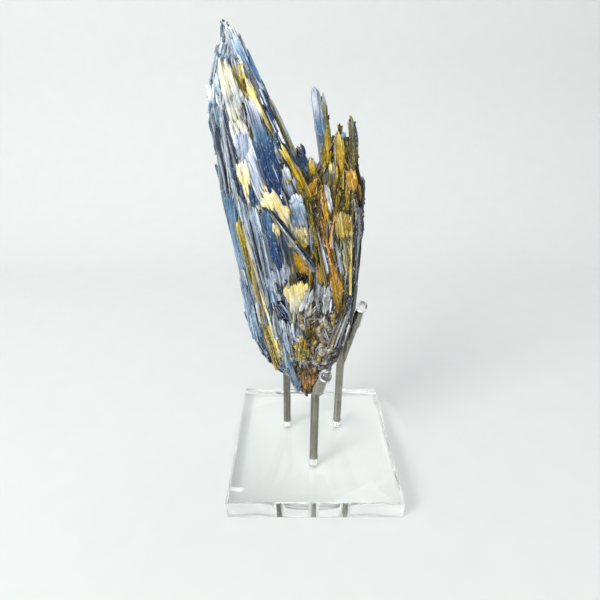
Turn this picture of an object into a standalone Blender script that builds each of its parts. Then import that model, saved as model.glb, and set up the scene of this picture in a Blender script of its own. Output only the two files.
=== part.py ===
"""Kyanite blade cluster held on a clear acrylic slab by three bent steel rods with clear caps.

Metres, +Z up. The origin is the middle of the slab's underside, and -Y faces the viewer.
Sizes are written in millimetres and scaled once, by MM.
"""
import math
import random

import bmesh
import bpy
from mathutils import Vector

MM = 0.001
GAP = 0.3            # clearance between pieces that touch

# Slab
SLAB_SIDE = 101.6
SLAB_THICK = 12.7
SLAB_BEVEL = 0.5
HOLE_DIAMETER = 5.7
HOLE_FLOOR = 1.5     # acrylic left under each hole
HOLE_SIDES = 20
DRILL_CLEAR = 5.0    # how far a drill stands out of the slab's top

# Rods and caps
ROD_DIAMETER = 5.1
BEND_RADIUS = 7.0
BEND_STEPS = 4
ROD_ROUNDNESS = 3    # bevel resolution of the round section
CAP_DIAMETER = 7.2
CAP_LENGTH = 18.0
CAP_BORE = ROD_DIAMETER + 2 * GAP
CAP_DOME = 5.5       # solid clear end beyond the rod
CAP_SIDES = 14
DOME_RINGS = (68, 45, 22, 0)   # degrees above the dome's widest ring

# Each rod: foot on the slab (x, y), height of the bend, direction of the arm, length of the arm
RODS = {
    "front": ((0.0, -17.0), 61.0, (0.26, -0.27, 0.93), 17.5),
    "left": ((-17.5, 17.0), 59.5, (-0.25, -0.05, 0.97), 36.0),
    "right": ((17.8, 17.0), 59.5, (0.19, -0.18, 0.965), 47.0),
}

# Cores of the specimen. Each ring: height, left, right, half depth, middle depth
LEFT_CORE = [
    (66, -20, -9, 5, 0),
    (80, -30, -2, 9, 0),
    (104, -36, 2, 12, 0),
    (132, -38, 1, 13, 0),
    (160, -42, -5, 12, 0),
    (186, -46, -15, 10, 0),
    (208, -47, -25, 7, 1),
    (224, -44, -31, 4.5, 1),
    (233, -42, -37, 2, 1.5),
]
RIGHT_CORE = [
    (56, -8, -2, 4, 0),
    (70, -13, 5, 9, 2),
    (90, -14, 15, 12, 2),
    (112, -12, 18, 14, 1),
    (140, -9, 18, 13, 1),
    (166, -8, 19, 11, 1),
    (178, -5, 17, 9, 1),
    (184, 3, 13, 4, 1),
    (200, 6, 11, 3, 1),
]
CORE_SIDES = 10
CORE_TWIST = 0.15      # radians, so that no facet faces straight ahead
CORE_UNEVEN = 0.05     # share of a ring's radius
CORE_STAGGER = 1.5     # how far a ring's points stray in height
SHEAF_ROUND = 0.85     # how far the skin falls back towards a sheaf's sides
BLADE_FLAT = 0.36      # half width of a blade's flat face, as a share of its width

# Blades that can be told apart from the front: root, tip, width, thickness, turn about the length
LEFT_BLADES = {
    "tip_spike": ((-31.5, -3, 214), (-42.8, 2, 248), 2.6, 2.0, 20),
    "tip_blade": ((-27, -4, 207), (-40.2, 2, 245), 4.4, 3.0, -10),
    "tip_blade_right": ((-19, -1, 197), (-37.4, 3, 241.5), 4.0, 3.4, 15),
    "edge_navy": ((-9.5, -4, 181), (-32.2, 0, 230), 4.0, 4.0, 30),
    "edge_back": ((-7, 3, 176), (-27.2, 3, 219.5), 4.0, 4.4, -25),
    "edge_gold": ((-3, -7, 169), (-17, -3, 197.5), 3.2, 3.0, 10),
    "step_blue": ((-36, -4, 204), (-42.4, 1, 241), 3.4, 3.0, 5),
    "step_second": ((-40.5, -2, 208), (-45.0, 1, 238), 3.2, 2.6, -15),
    "step_third": ((-43.4, 0, 206), (-46.7, 2, 236.5), 2.2, 2.4, 25),
    "left_spike": ((-45.6, 0, 203), (-47.8, 1, 227.5), 1.6, 1.6, 0),
    "left_corner": ((-44, -1, 188), (-51.2, 1, 222.5), 2.8, 3.0, 20),
    "left_corner_inner": ((-42, -3, 190), (-48.8, 0, 225), 2.6, 2.4, -20),
    "left_low": ((-44.5, 0, 168), (-51.2, 2, 215.5), 3.0, 3.4, 10),
    "left_low_middle": ((-41.5, -5, 166), (-48.8, -1, 216.5), 3.4, 2.8, -12),
    "left_low_inner": ((-38.5, -8, 168), (-45.8, -4, 217), 3.0, 2.4, 20),
    "cream_blade": ((-34.6, -11, 197), (-43.0, -4, 233), 6.2, 3.0, 4),
    "olive_wedge": ((-32, -7, 212), (-37.6, -2, 234), 4.2, 2.6, -8),
    "yellow_streak": ((-26, -8, 206), (-35.8, -3, 232), 2.6, 2.4, 12),
    "big_blue": ((-19.6, -15, 168), (-32.4, -7, 216), 8.2, 4.0, -6),
    "pale_gold_line": ((-14.5, -13, 182), (-30.0, -6, 216.5), 2.4, 2.4, 25),
    "dark_bundle": ((-12, -9, 182), (-30.2, -3, 226), 4.6, 3.6, -15),
    "lilac_blade": ((-28.5, -14, 164), (-38.8, -8, 202), 7.0, 3.2, 8),
    "white_blade": ((-23.4, -15, 164), (-33.6, -10, 201), 4.6, 3.0, -12),
    "clear_blue": ((-36.5, -3, 120), (-46.4, -1, 177), 5.6, 4.0, 12),
    "gold_stripe": ((-23.6, -6, 84), (-41.0, -9, 166), 3.4, 3.0, -18),
    "grey_lath": ((-26, -11, 106), (-39.8, -9, 184), 4.4, 3.2, 14),
    "steel_lath": ((-20.6, -13, 98), (-36.6, -12, 177), 4.6, 3.4, -10),
    "cream_edge": ((-19.4, -10, 84), (-36.1, -13, 158), 2.4, 2.6, 30),
    "pale_low": ((-33.2, -1, 91), (-39.4, 0, 132), 6.4, 5.0, 5),
    "crusty_low": ((-28.6, 1, 79), (-38.0, 0, 110), 7.6, 6.0, -8),
    "gold_end": ((-21.6, -6, 73), (-30.4, -8, 114), 4.6, 3.4, 12),
    "dark_end": ((-26.2, -1, 75), (-34.0, -4, 112), 4.4, 4.4, -14),
    "navy_blade": ((-18, -17, 133), (-25.2, -16, 171), 5.0, 3.0, -5),
    "steel_blade": ((-21, -14, 122), (-31, -14, 173), 6.8, 3.4, 16),
    "splinter": ((-1.5, -17.5, 140.5), (-24, -18.5, 172), 3.0, 2.6, 20),
    "cream_sheet": ((-12.8, -14, 152), (-24.6, -13, 180), 7.4, 3.0, -14),
}
RIGHT_BLADES = {
    "blue_crystal": ((-8.6, -13, 152), (-11.0, -12, 175), 7.4, 4.0, 12),
    "olive_lath": ((3.4, -12, 136), (-9.8, -9, 179), 3.8, 3.4, -15),
    "olive_lath_low": ((6.0, -13, 124), (-6.8, -9, 174), 3.4, 3.2, 18),
    "navy_chunk": ((-6.8, 2, 172), (-8.2, 2, 194), 6.6, 6.0, 10),
    "navy_chunk_spike": ((-8.6, 2, 180), (-10.2, 2, 197.5), 1.8, 2.0, 0),
    "yellow_spike": ((-2.4, -4, 170), (-3.7, -4, 192), 3.2, 3.0, -10),
    "twin_blade": ((4.6, -3, 174), (-3.2, 0, 222), 4.0, 3.0, 12),
    "twin_thin": ((7.2, -1, 174), (0.2, 1, 219.5), 2.6, 2.4, -16),
    "thin_spike": ((7.8, -1, 176), (6.0, -1, 203), 1.4, 1.4, 0),
    "yellow_group": ((10.8, -4, 168), (9.2, -2, 203), 4.2, 3.6, 14),
    "yellow_thin": ((9.4, -3, 170), (8.2, -2.6, 207.5), 1.8, 1.8, -14),
    "blue_bit": ((12.4, 0, 174), (10.9, 0, 203), 2.2, 2.4, 10),
    "dark_thin": ((14.2, 0, 172), (12.6, 0, 202), 1.8, 3.0, 20),
    "tall_grey": ((17.2, 0, 168), (14.2, 0, 210), 2.4, 3.0, -8),
    "tall_grey_edge": ((18.6, 1, 168), (16.3, 1, 206), 2.0, 3.4, 8),
    "orange_tab": ((15.0, -6, 162), (14.8, -6, 186.5), 4.8, 3.0, 5),
    "margin_spike": ((21.0, 0, 128), (21.2, 1, 182.5), 3.4, 4.4, -12),
    "margin_blade": ((19.4, 1, 106), (20.8, 2, 175), 4.8, 6.0, 10),
    "margin_back": ((19.0, 6, 110), (20.4, 6, 172), 5.0, 5.0, -30),
    "light_grey": ((5.6, -12.5, 150), (2.7, -10, 181), 3.0, 2.4, 16),
    "cream_lath": ((7.2, -11.5, 140), (1.0, -9, 178), 3.0, 2.8, -18),
    "gold_lath": ((10.6, -10, 112), (1.8, -8, 168), 4.6, 3.4, 8),
    "quartz_bits": ((14.6, -10, 124), (12.4, -9, 169), 7.4, 4.0, -8),
    "olive_group": ((7.4, -7, 162), (6.0, -6, 190), 4.0, 3.2, 12),
    "olive_back": ((2.6, 0, 160), (0.6, 0, 185), 5.4, 5.0, -10),
    "right_face": ((17.4, -6, 104), (18.6, -5, 166), 5.4, 4.0, -26),
    "foot_blue": ((-8.6, -3, 54.5), (-18, -7, 92), 5.4, 4.4, -10),
    "foot_point": ((-3.2, -1, 51), (-6.0, -3, 82), 6.4, 6.0, 14),
    "foot_edge": ((4.0, 1, 66), (19.4, 2, 110), 5.6, 6.0, -8),
    "arm_rest": ((9.0, 7, 70), (20.2, 8, 112), 4.8, 7.0, 12),
    "foot_edge_front": ((4.4, -5, 74), (17.2, -7, 112), 5.0, 4.0, 16),
}

# Lumps of the foot: centre, radii across, deep and high
FOOT_LUMPS = [
    ((-3, -10, 118), (9, 7, 12)),
    ((4, -9, 104), (9, 7, 11)),
    ((-9, -10, 100), (8, 6, 12)),
    ((-2, -8, 86), (9, 7, 12)),
    ((-6, -4, 70), (7, 6, 10)),
    ((8, -4, 88), (8, 7, 10)),
    ((-11.5, -14.5, 127), (5.5, 3.5, 5)),
    ((7, -12, 118), (5, 5, 9)),
    ((5, -12.5, 88), (8, 7.5, 11)),
    ((3, -9, 76), (6.5, 7, 8.5)),
    ((-4, 8, 84), (10, 7, 13)),
    ((-23, 5, 92), (8, 5.5, 13)),
    ((-12, 10, 106), (9, 6, 15)),
    ((6, 10, 112), (10, 6, 14)),
]
LUMP_ROUGHNESS = 0.16

# Laths that clothe the sheaves: count, then ranges of depth, length, width and thickness
BACK_LATHS = {
    "count": 34, "depth": (0.8, 1.06), "length": (34, 62), "width": (3.4, 6.6), "thick": (2.4, 4.4),
}
FRONT_LATHS = {
    "count": 16, "depth": (-1.1, -0.95), "length": (22, 48), "width": (1.6, 2.8), "thick": (2.0, 3.2),
}
LEFT_SPAN = (84, 232)     # heights between which a sheaf's laths lie
RIGHT_SPAN = (72, 197)
LATH_TURN = 30            # degrees either way about a lath's length
LEFT_BREAK = (0.4, 1.3)   # slant of a tip, as drop per width
RIGHT_BREAK = (0.2, 0.7)
SEED = 11


# Scene and mesh helpers

def clear_scene():
    for item in list(bpy.data.objects):
        bpy.data.objects.remove(item, do_unlink=True)


def make_material(name, colour, roughness, metallic=0.0, alpha=1.0):
    material = bpy.data.materials.new(name)
    material.use_nodes = True
    shader = material.node_tree.nodes["Principled BSDF"]
    shader.inputs["Base Color"].default_value = (*colour, 1.0)
    shader.inputs["Roughness"].default_value = roughness
    shader.inputs["Metallic"].default_value = metallic
    shader.inputs["Alpha"].default_value = alpha
    return material


def make_object(name, bm, material=None):
    """Turn a bmesh in millimetres into a linked object in metres."""
    bmesh.ops.scale(bm, vec=(MM, MM, MM), verts=bm.verts)
    bmesh.ops.recalc_face_normals(bm, faces=bm.faces)
    mesh = bpy.data.meshes.new(name)
    bm.to_mesh(mesh)
    bm.free()
    if material:
        mesh.materials.append(material)
    item = bpy.data.objects.new(name, mesh)
    bpy.context.scene.collection.objects.link(item)
    return item


def shade_round(item, angle=40):
    item.data.shade_smooth()
    item.data.set_sharp_from_angle(angle=math.radians(angle))


def bridge_rings(bm, rings):
    """Skin closed rings of points, capping both ends."""
    loops = [[bm.verts.new(point) for point in ring] for ring in rings]
    count = len(loops[0])
    for low, high in zip(loops, loops[1:]):
        for i in range(count):
            j = (i + 1) % count
            bm.faces.new((low[i], low[j], high[j], high[i]))
    bm.faces.new(reversed(loops[0]))
    bm.faces.new(loops[-1])


def lerp(a, b, t):
    return a + (b - a) * t


# Stand

def cylinder(bm, radius, bottom, top, centre, sides):
    rings = []
    for z in (bottom, top):
        ring = []
        for i in range(sides):
            angle = 2 * math.pi * i / sides
            ring.append((centre[0] + radius * math.cos(angle), centre[1] + radius * math.sin(angle), z))
        rings.append(ring)
    bridge_rings(bm, rings)


def build_slab(material):
    bm = bmesh.new()
    bmesh.ops.create_cube(bm, size=1.0)
    bmesh.ops.scale(bm, vec=(SLAB_SIDE, SLAB_SIDE, SLAB_THICK), verts=bm.verts)
    bmesh.ops.translate(bm, vec=(0, 0, SLAB_THICK / 2), verts=bm.verts)
    slab = make_object("acrylic_base", bm, material)

    bevel = slab.modifiers.new("polished_edges", 'BEVEL')
    bevel.width = SLAB_BEVEL * MM
    bevel.segments = 1

    bm = bmesh.new()
    for foot, _, _, _ in RODS.values():
        cylinder(bm, HOLE_DIAMETER / 2, HOLE_FLOOR, SLAB_THICK + DRILL_CLEAR, foot, HOLE_SIDES)
    drills = make_object("rod_holes", bm)
    drills.hide_render = True
    drills.display_type = 'WIRE'

    holes = slab.modifiers.new("rod_holes", 'BOOLEAN')
    holes.operation = 'DIFFERENCE'
    holes.solver = 'EXACT'
    holes.object = drills


def rod_path(foot, bend_height, arm, arm_length):
    """Points of the rod's middle line: up from the slab, round the bend, along the arm."""
    up = Vector((0, 0, 1))
    arm = Vector(arm).normalized()
    corner = Vector((foot[0], foot[1], bend_height))
    turn = up.angle(arm)
    reach = BEND_RADIUS * math.tan(turn / 2)
    start = corner - up * reach
    side = (arm - up * arm.dot(up)).normalized()
    centre = start + side * BEND_RADIUS
    points = [Vector((foot[0], foot[1], HOLE_FLOOR + GAP))]
    for i in range(BEND_STEPS + 1):
        angle = turn * i / BEND_STEPS
        points.append(centre - side * BEND_RADIUS * math.cos(angle) + up * BEND_RADIUS * math.sin(angle))
    points.append(corner + arm * arm_length)
    return points, arm


def build_rod(name, points, material):
    curve = bpy.data.curves.new(name, 'CURVE')
    curve.dimensions = '3D'
    curve.bevel_depth = ROD_DIAMETER / 2 * MM
    curve.bevel_resolution = ROD_ROUNDNESS
    curve.use_fill_caps = True
    spline = curve.splines.new('POLY')
    spline.points.add(len(points) - 1)
    for slot, point in zip(spline.points, points):
        slot.co = (*(point * MM), 1.0)
        slot.radius = 1.0
    spline.use_smooth = True
    curve.materials.append(material)
    item = bpy.data.objects.new(name, curve)
    bpy.context.scene.collection.objects.link(item)


def cap_profile():
    """Radius and height from the top of the dome, over the outside and up the bore."""
    outer = CAP_DIAMETER / 2
    top = CAP_LENGTH - outer
    dome = [(outer * math.cos(angle), top + outer * math.sin(angle))
            for angle in (math.radians(degrees) for degrees in DOME_RINGS)]
    bore = CAP_BORE / 2
    return dome + [(outer, 0.0), (bore, 0.0), (bore, CAP_LENGTH - CAP_DOME)]


def build_cap(name, rod_end, arm, material):
    """A cap pushed on to the rod's end, with the rod's end just clear of the bore's floor."""
    across = arm.orthogonal().normalized()
    other = arm.cross(across)
    origin = rod_end + arm * (GAP - (CAP_LENGTH - CAP_DOME))
    bm = bmesh.new()
    rings = []
    for radius, height in cap_profile():
        ring = []
        for i in range(CAP_SIDES):
            angle = 2 * math.pi * i / CAP_SIDES
            ring.append(origin + arm * height
                        + (across * math.cos(angle) + other * math.sin(angle)) * radius)
        rings.append(ring)
    bridge_rings(bm, rings)
    shade_round(make_object(name, bm, material))


# Specimen

def blade(bm, root, tip, width, thick, turn, slant):
    """A flat crystal with bevelled narrow sides, a square root and a slanting broken tip."""
    root, tip = Vector(root), Vector(tip)
    along = (tip - root).normalized()
    across = Vector((math.cos(math.radians(turn)), math.sin(math.radians(turn)), 0.0))
    across = (across - along * across.dot(along)).normalized()
    out = across.cross(along).normalized()
    half, flat, deep = width / 2, width * BLADE_FLAT, thick / 2
    section = [(-half, 0), (-flat, -deep), (flat, -deep), (half, 0), (flat, deep), (-flat, deep)]
    low = [root + across * x + out * y for x, y in section]
    high = [tip + across * x + out * y - along * (slant * (half + x)) for x, y in section]
    bridge_rings(bm, [low, high])


def core(bm, rows, chance):
    """The solid middle of a sheaf, which the blades grow out of."""
    rings = []
    for height, left, right, deep, middle in rows:
        ring = []
        for i in range(CORE_SIDES):
            angle = 2 * math.pi * i / CORE_SIDES + CORE_TWIST
            swell = 1 + chance.uniform(-CORE_UNEVEN, CORE_UNEVEN)
            ring.append((
                lerp(left, right, 0.5 + 0.5 * math.cos(angle) * swell),
                middle + deep * math.sin(angle) * swell,
                height + chance.uniform(-CORE_STAGGER, CORE_STAGGER),
            ))
        rings.append(ring)
    bridge_rings(bm, rings)


def lump(bm, centre, radii, chance):
    """A knobby mass of matrix with flat facets."""
    made = bmesh.ops.create_icosphere(bm, subdivisions=2, radius=1.0)["verts"]
    for vert in made:
        swell = 1 + chance.uniform(-LUMP_ROUGHNESS, LUMP_ROUGHNESS)
        vert.co = Vector([c + v * r * swell for c, v, r in zip(centre, vert.co, radii)])


def core_point(rows, across, depth, height):
    """A point of the sheaf: across 0 to 1 from left to right, depth -1 front to 1 back."""
    for low, high in zip(rows, rows[1:]):
        if height <= high[0]:
            break
    t = (height - low[0]) / (high[0] - low[0])
    left, right, deep, middle = (lerp(a, b, t) for a, b in zip(low[1:], high[1:]))
    round_off = math.sqrt(1 - SHEAF_ROUND * (2 * across - 1) ** 2)
    return Vector((lerp(left, right, across), middle + deep * depth * round_off, height))


def lath(bm, rows, span, kind, place, chance):
    """One lath on the skin of a sheaf, following its lean."""
    across = (place + chance.uniform(0.1, 0.9)) / kind["count"]
    depth = chance.uniform(*kind["depth"])
    length = chance.uniform(*kind["length"])
    base = chance.uniform(span[0], span[1] - length)
    root = core_point(rows, across, depth, base)
    tip = core_point(rows, across, depth, base + length)
    width, thick = chance.uniform(*kind["width"]), chance.uniform(*kind["thick"])
    turn = chance.uniform(-LATH_TURN, LATH_TURN)
    blade(bm, root, tip, width, thick, turn, chance.uniform(*LEFT_BREAK))


def join_shapes(parts):
    """Union of all the shapes, kept as one closed mesh with no sealed pockets."""
    first, rest = parts[0], parts[1:]
    group = bpy.data.collections.new("crystals")
    bpy.context.scene.collection.children.link(group)
    for item in rest:
        bpy.context.scene.collection.objects.unlink(item)
        group.objects.link(item)
    union = first.modifiers.new("grown_together", 'BOOLEAN')
    union.operation = 'UNION'
    union.solver = 'EXACT'
    union.operand_type = 'COLLECTION'
    union.collection = group
    joined = bpy.data.meshes.new_from_object(first.evaluated_get(bpy.context.evaluated_depsgraph_get()))
    for item in parts:
        bpy.data.objects.remove(item, do_unlink=True)
    bpy.data.collections.remove(group)
    return joined


def outer_shell(mesh):
    """Keep the outside skin only, so that no pocket is left sealed between the blades."""
    bm = bmesh.new()
    bm.from_mesh(mesh)
    left = set(bm.faces)
    shells = []
    while left:
        stack = [left.pop()]
        shell = list(stack)
        while stack:
            for edge in stack.pop().edges:
                for face in edge.link_faces:
                    if face in left:
                        left.remove(face)
                        stack.append(face)
                        shell.append(face)
        shells.append(shell)
    shells.sort(key=len)
    for shell in shells[:-1]:
        bmesh.ops.delete(bm, geom=shell, context='FACES')
    bm.to_mesh(mesh)
    bm.free()


def build_cluster(material):
    chance = random.Random(SEED)
    parts = []

    def shape(build, *values):
        bm = bmesh.new()
        build(bm, *values)
        parts.append(make_object("crystal", bm))

    shape(core, LEFT_CORE, chance)
    shape(core, RIGHT_CORE, chance)
    for blades, tip_break in ((LEFT_BLADES, LEFT_BREAK), (RIGHT_BLADES, RIGHT_BREAK)):
        for sizes in blades.values():
            shape(blade, *sizes, chance.uniform(*tip_break))
    for centre, radii in FOOT_LUMPS:
        shape(lump, centre, radii, chance)
    for rows, span in ((LEFT_CORE, LEFT_SPAN), (RIGHT_CORE, RIGHT_SPAN)):
        for kind in (BACK_LATHS, FRONT_LATHS):
            for place in range(kind["count"]):
                shape(lath, rows, span, kind, place, chance)

    joined = join_shapes(parts)
    outer_shell(joined)
    joined.name = "kyanite_cluster"
    joined.materials.clear()
    joined.materials.append(material)
    item = bpy.data.objects.new("kyanite_cluster", joined)
    bpy.context.scene.collection.objects.link(item)


def main():
    clear_scene()
    acrylic = make_material("clear_acrylic", (0.93, 0.95, 0.95), 0.02, alpha=0.35)
    steel = make_material("brushed_steel", (0.55, 0.54, 0.50), 0.28, metallic=1.0)
    vinyl = make_material("clear_vinyl", (0.90, 0.91, 0.90), 0.08, alpha=0.35)
    kyanite = make_material("kyanite", (0.24, 0.33, 0.47), 0.45)

    build_slab(acrylic)
    for side, values in RODS.items():
        points, arm = rod_path(*values)
        build_rod(side + "_rod", points, steel)
        build_cap(side + "_cap", points[-1], arm, vinyl)
    build_cluster(kyanite)


main()
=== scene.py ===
"""The dressed kyanite blade cluster: splintery crystals, drawn steel rods, clear caps and slab.

Sizes are in millimetres, scaled once by MM; the frame is the row's, with -Y to the viewer.
"""

import bisect
import math
import random

import bmesh
import bpy
import numpy as np
from mathutils import Matrix, Vector, noise
from mathutils.bvhtree import BVHTree


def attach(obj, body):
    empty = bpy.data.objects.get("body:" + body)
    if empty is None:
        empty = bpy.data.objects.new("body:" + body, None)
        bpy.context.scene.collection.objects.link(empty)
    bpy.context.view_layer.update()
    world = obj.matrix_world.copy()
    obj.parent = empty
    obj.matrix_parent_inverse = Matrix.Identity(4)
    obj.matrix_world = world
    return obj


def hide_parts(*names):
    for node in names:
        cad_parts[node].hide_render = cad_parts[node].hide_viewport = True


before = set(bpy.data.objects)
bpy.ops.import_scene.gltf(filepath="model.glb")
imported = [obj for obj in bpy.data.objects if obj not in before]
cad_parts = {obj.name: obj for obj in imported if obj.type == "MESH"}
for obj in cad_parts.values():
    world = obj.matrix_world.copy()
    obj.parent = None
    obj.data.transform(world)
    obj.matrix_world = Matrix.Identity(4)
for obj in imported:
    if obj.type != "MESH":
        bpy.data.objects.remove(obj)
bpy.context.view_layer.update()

MM = 0.001
GAP = 0.3
SEED = 23

# Slab, rods and caps, as in the part's source
SLAB_SIDE = 101.6
SLAB_THICK = 12.7
SLAB_BEVEL = 0.7
HOLE_DIAMETER = 5.7
HOLE_FLOOR = 1.5
HOLE_LIP = 0.45
ROD_DIAMETER = 5.1
ROD_CHAMFER = 0.35
BEND_RADIUS = 7.0
BEND_STEPS = 16
THREAD_PITCH = 0.8
THREAD_DEPTH = 0.28
THREAD_RINGS = 108
CAP_DIAMETER = 7.2
CAP_LENGTH = 18.0
CAP_DOME = 5.5
RODS = {
    "front": ((0.0, -17.0), 61.0, (0.26, -0.27, 0.93), 17.5),
    "left": ((-17.5, 17.0), 59.5, (-0.25, -0.05, 0.97), 36.0),
    "right": ((17.8, 17.0), 59.5, (0.19, -0.18, 0.965), 47.0),
}

# Cores of the two sheaves. Each ring: height, left, right, half depth, middle depth
LEFT_CORE = [
    (66, -20, -9, 5, 0),
    (80, -30, -2, 9, 0),
    (104, -36, 2, 12, 0),
    (132, -38, 1, 13, 0),
    (160, -42, -5, 12, 0),
    (186, -46, -15, 10, 0),
    (208, -47, -25, 7, 1),
    (224, -44, -31, 4.5, 1),
    (233, -42, -37, 2, 1.5),
]
RIGHT_CORE = [
    (56, -8, -2, 4, 0),
    (70, -13, 5, 9, 2),
    (90, -14, 15, 12, 2),
    (112, -12, 18, 14, 1),
    (140, -9, 18, 13, 1),
    (166, -8, 19, 11, 1),
    (178, -5, 17, 9, 1),
    (184, 3, 13, 4, 1),
    (200, 6, 11, 3, 1),
]

# The photograph's camera: side and focal length in pixels, angles in degrees, place
PHOTO_SIDE = 600
FOCAL = 410.0
SENSOR = 36.0
PITCH, YAW, ROLL = 26.2, 0.4, 0.4
EYE = np.array((-10.6, -207.5, 217.2))

# Colours of the mineral, sRGB
PALETTE = {
    "steel": (74, 112, 144), "pale": (146, 166, 186), "ice": (198, 208, 220), "navy": (22, 62, 104),
    "deep": (12, 40, 86), "ink": (14, 17, 24), "silver": (160, 166, 172), "grey": (108, 114, 120),
    "slate": (58, 70, 90), "white": (226, 228, 225), "cream": (236, 228, 196), "butter": (234, 214, 120),
    "gold": (186, 150, 6), "amber": (214, 150, 0), "rust": (122, 78, 0), "bark": (48, 28, 8),
    "olive": (108, 98, 12), "moss": (156, 138, 8), "dark_olive": (46, 46, 18), "lilac": (164, 174, 196),
    "sand": (194, 170, 84), "tan": (166, 150, 112), "umber": (96, 74, 34),
}
LEFT_COAT = ["steel", "pale", "silver", "slate", "ice", "pale", "steel", "ice", "silver", "sand"]
LEFT_EDGE_COAT = ["steel", "pale", "ice", "lilac", "silver", "pale"]
RIGHT_COAT = ["olive", "silver", "bark", "sand", "slate", "moss", "grey", "gold"]
FOOT_COAT = ["silver", "grey", "tan", "slate", "umber", "pale", "grey", "rust"]

# How the laths are made
FINE_LATH = 1.25        # width of one fibre of a crystal
FACE_LATH = 1.25        # width of a broken face's laths
FACE_THICK = 1.8
FACE_SINK = -0.2
FRONT_LATH_THICK = 1.7
FRONT_LATH_SINK = 0.9   # how far a front lath's middle lies under its traced line
CORE_VOXEL = 0.95       # side of the cells that the core is rebuilt from
LONG_BLADES = 150       # on the sides and the back
LONG_BLADE_THICK = 2.4
COAT_COUNT = 3000       # laths that clothe the rest of the skin
CHIPS = 700
GRAIN_REACH = 400       # each crystal has a place of its own in the grain
FRONT_DEPTH = 2.5       # zones apply in front of this

# Their painted light and shade, and their tone
PAINTED_SHADE_FLANKS = (0.35, 0.22, 0.22, 1.0, 1.0)   # painted shade round a lath, as brightness of its right flank, back, back, left flank, front
# painted highlight: how far each lath's left edge is whitened
PAINTED_EDGE_HIGHLIGHT = 0.45
ROUGH_CONTRAST, ROUGH_FLECKS_AND_GLINTS = 0.7, 1.7  # most laths differ more than their shade says, and get more pale flecking that is partly painted glints
PALE_CALM, PALE_LIGHT = 0.25, 1.35      # the left sheaf gets less painted shade on its flanks, and is paler towards its tip
PALE_FROM, PALE_SPAN = 100, 110
COAT_SHADES = {"left": (0.5, 1.2), "right": (0.15, 1.35)}

# Crystals of the part's source: root, tip, width, thickness, turn and the colours of their laths from left
# to right; a > b runs from the tip's colour to the root's
LEFT_BLADES = """
tip_spike -31.5 -3 214  -42.8 2 248  2.4 2 20 white silver
tip_blade -27 -4 207  -40.2 2 245  4.4 3 -10 white>ice pale lilac pale
tip_blade_right -19 -1 197  -37.4 3 241.5  4 3.4 15 ice pale>white pale steel
edge_navy -9.5 -4 181  -32.2 0 230  4 4 30 steel ice ink slate
edge_back -7 3 176  -27.2 3 219.5  4 4.4 -25 slate navy silver ink
edge_gold -3 -7 169  -17 -3 197.5  3.2 3 10 butter>gold moss gold>amber
step_blue -36 -4 204  -42.4 1 241  3.4 3 5 ice pale lilac
step_second -40.5 -2 208  -45 1 238  3.2 2.6 -15 ice>white pale ice
step_third -43.4 0 206  -46.7 2 236.5  2.2 2.4 25 pale lilac
left_spike -45.6 0 203  -47.8 1 227.5  1.6 1.6 0 pale
left_corner -44 -1 188  -51.2 1 222.5  2.8 3 20 ice pale steel
left_corner_inner -42 -3 190  -48.8 0 225  2.6 2.4 -20 white>pale steel ice
left_low -44.5 0 168  -51.2 2 215.5  3 3.4 10 ice steel>pale pale
left_low_middle -41.5 -5 166  -48.8 -1 216.5  3.4 2.8 -12 steel navy pale
left_low_inner -38.5 -8 168  -45.8 -4 217  3 2.4 20 silver slate ice
cream_blade -34.6 -11 197  -43 -4 233  6.2 3 4 cream cream>white ice white
olive_wedge -32 -7 212  -37.6 -2 234  4.2 2.6 -8 silver moss olive
yellow_streak -26 -8 206  -35.8 -3 232  2.6 2.4 12 butter gold
big_blue -19.6 -15 168  -32.4 -7 216  8.2 4 -6 ice>pale>steel pale>navy>deep steel>navy
pale_gold_line -14.5 -13 182  -30 -6 216.5  2.4 2.4 25 cream>moss sand>olive
dark_bundle -12 -9 182  -30.2 -3 226  4.6 3.6 -15 navy ink white slate
lilac_blade -28.5 -14 164  -38.8 -8 202  7 3.2 8 white>sand lilac>butter ice>cream white
white_blade -23.4 -15 164  -33.6 -10 201  4.6 3 -12 white ice>steel sand
clear_blue -36.5 -3 120  -46.4 -1 177  5.6 4 12 navy steel pale>steel steel
gold_stripe -23.6 -6 84  -41 -9 166  3.4 3 -18 olive gold moss
grey_lath -26 -11 106  -39.8 -9 184  4.4 3.2 14 silver slate grey pale
steel_lath -20.6 -13 98  -36.6 -12 177  4.6 3.4 -10 steel ice slate silver
cream_edge -19.4 -10 84  -36.1 -13 158  2.4 2.6 30 cream sand
pale_low -33.2 -1 91  -39.4 0 132  6.4 5 5 steel ice steel pale
crusty_low -28.6 1 79  -38 0 110  7.6 6 -8 slate steel pale grey slate
gold_end -21.6 -6 73  -30.4 -8 114  4.6 3.4 12 gold bark butter sand
dark_end -26.2 -1 75  -34 -4 112  4.4 4.4 -14 slate ink grey
navy_blade -18 -17 133  -25.2 -16 171  5 3 -5 steel deep navy
steel_blade -21 -14 122  -31 -14 173  6.8 3.4 16 pale steel silver slate
splinter -1.5 -17.5 140.5  -24 -18.5 172  3 2.6 20 silver slate
cream_sheet -12.8 -14 152  -24.6 -13 180  7.4 3 -14 white cream butter cream
"""
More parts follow.
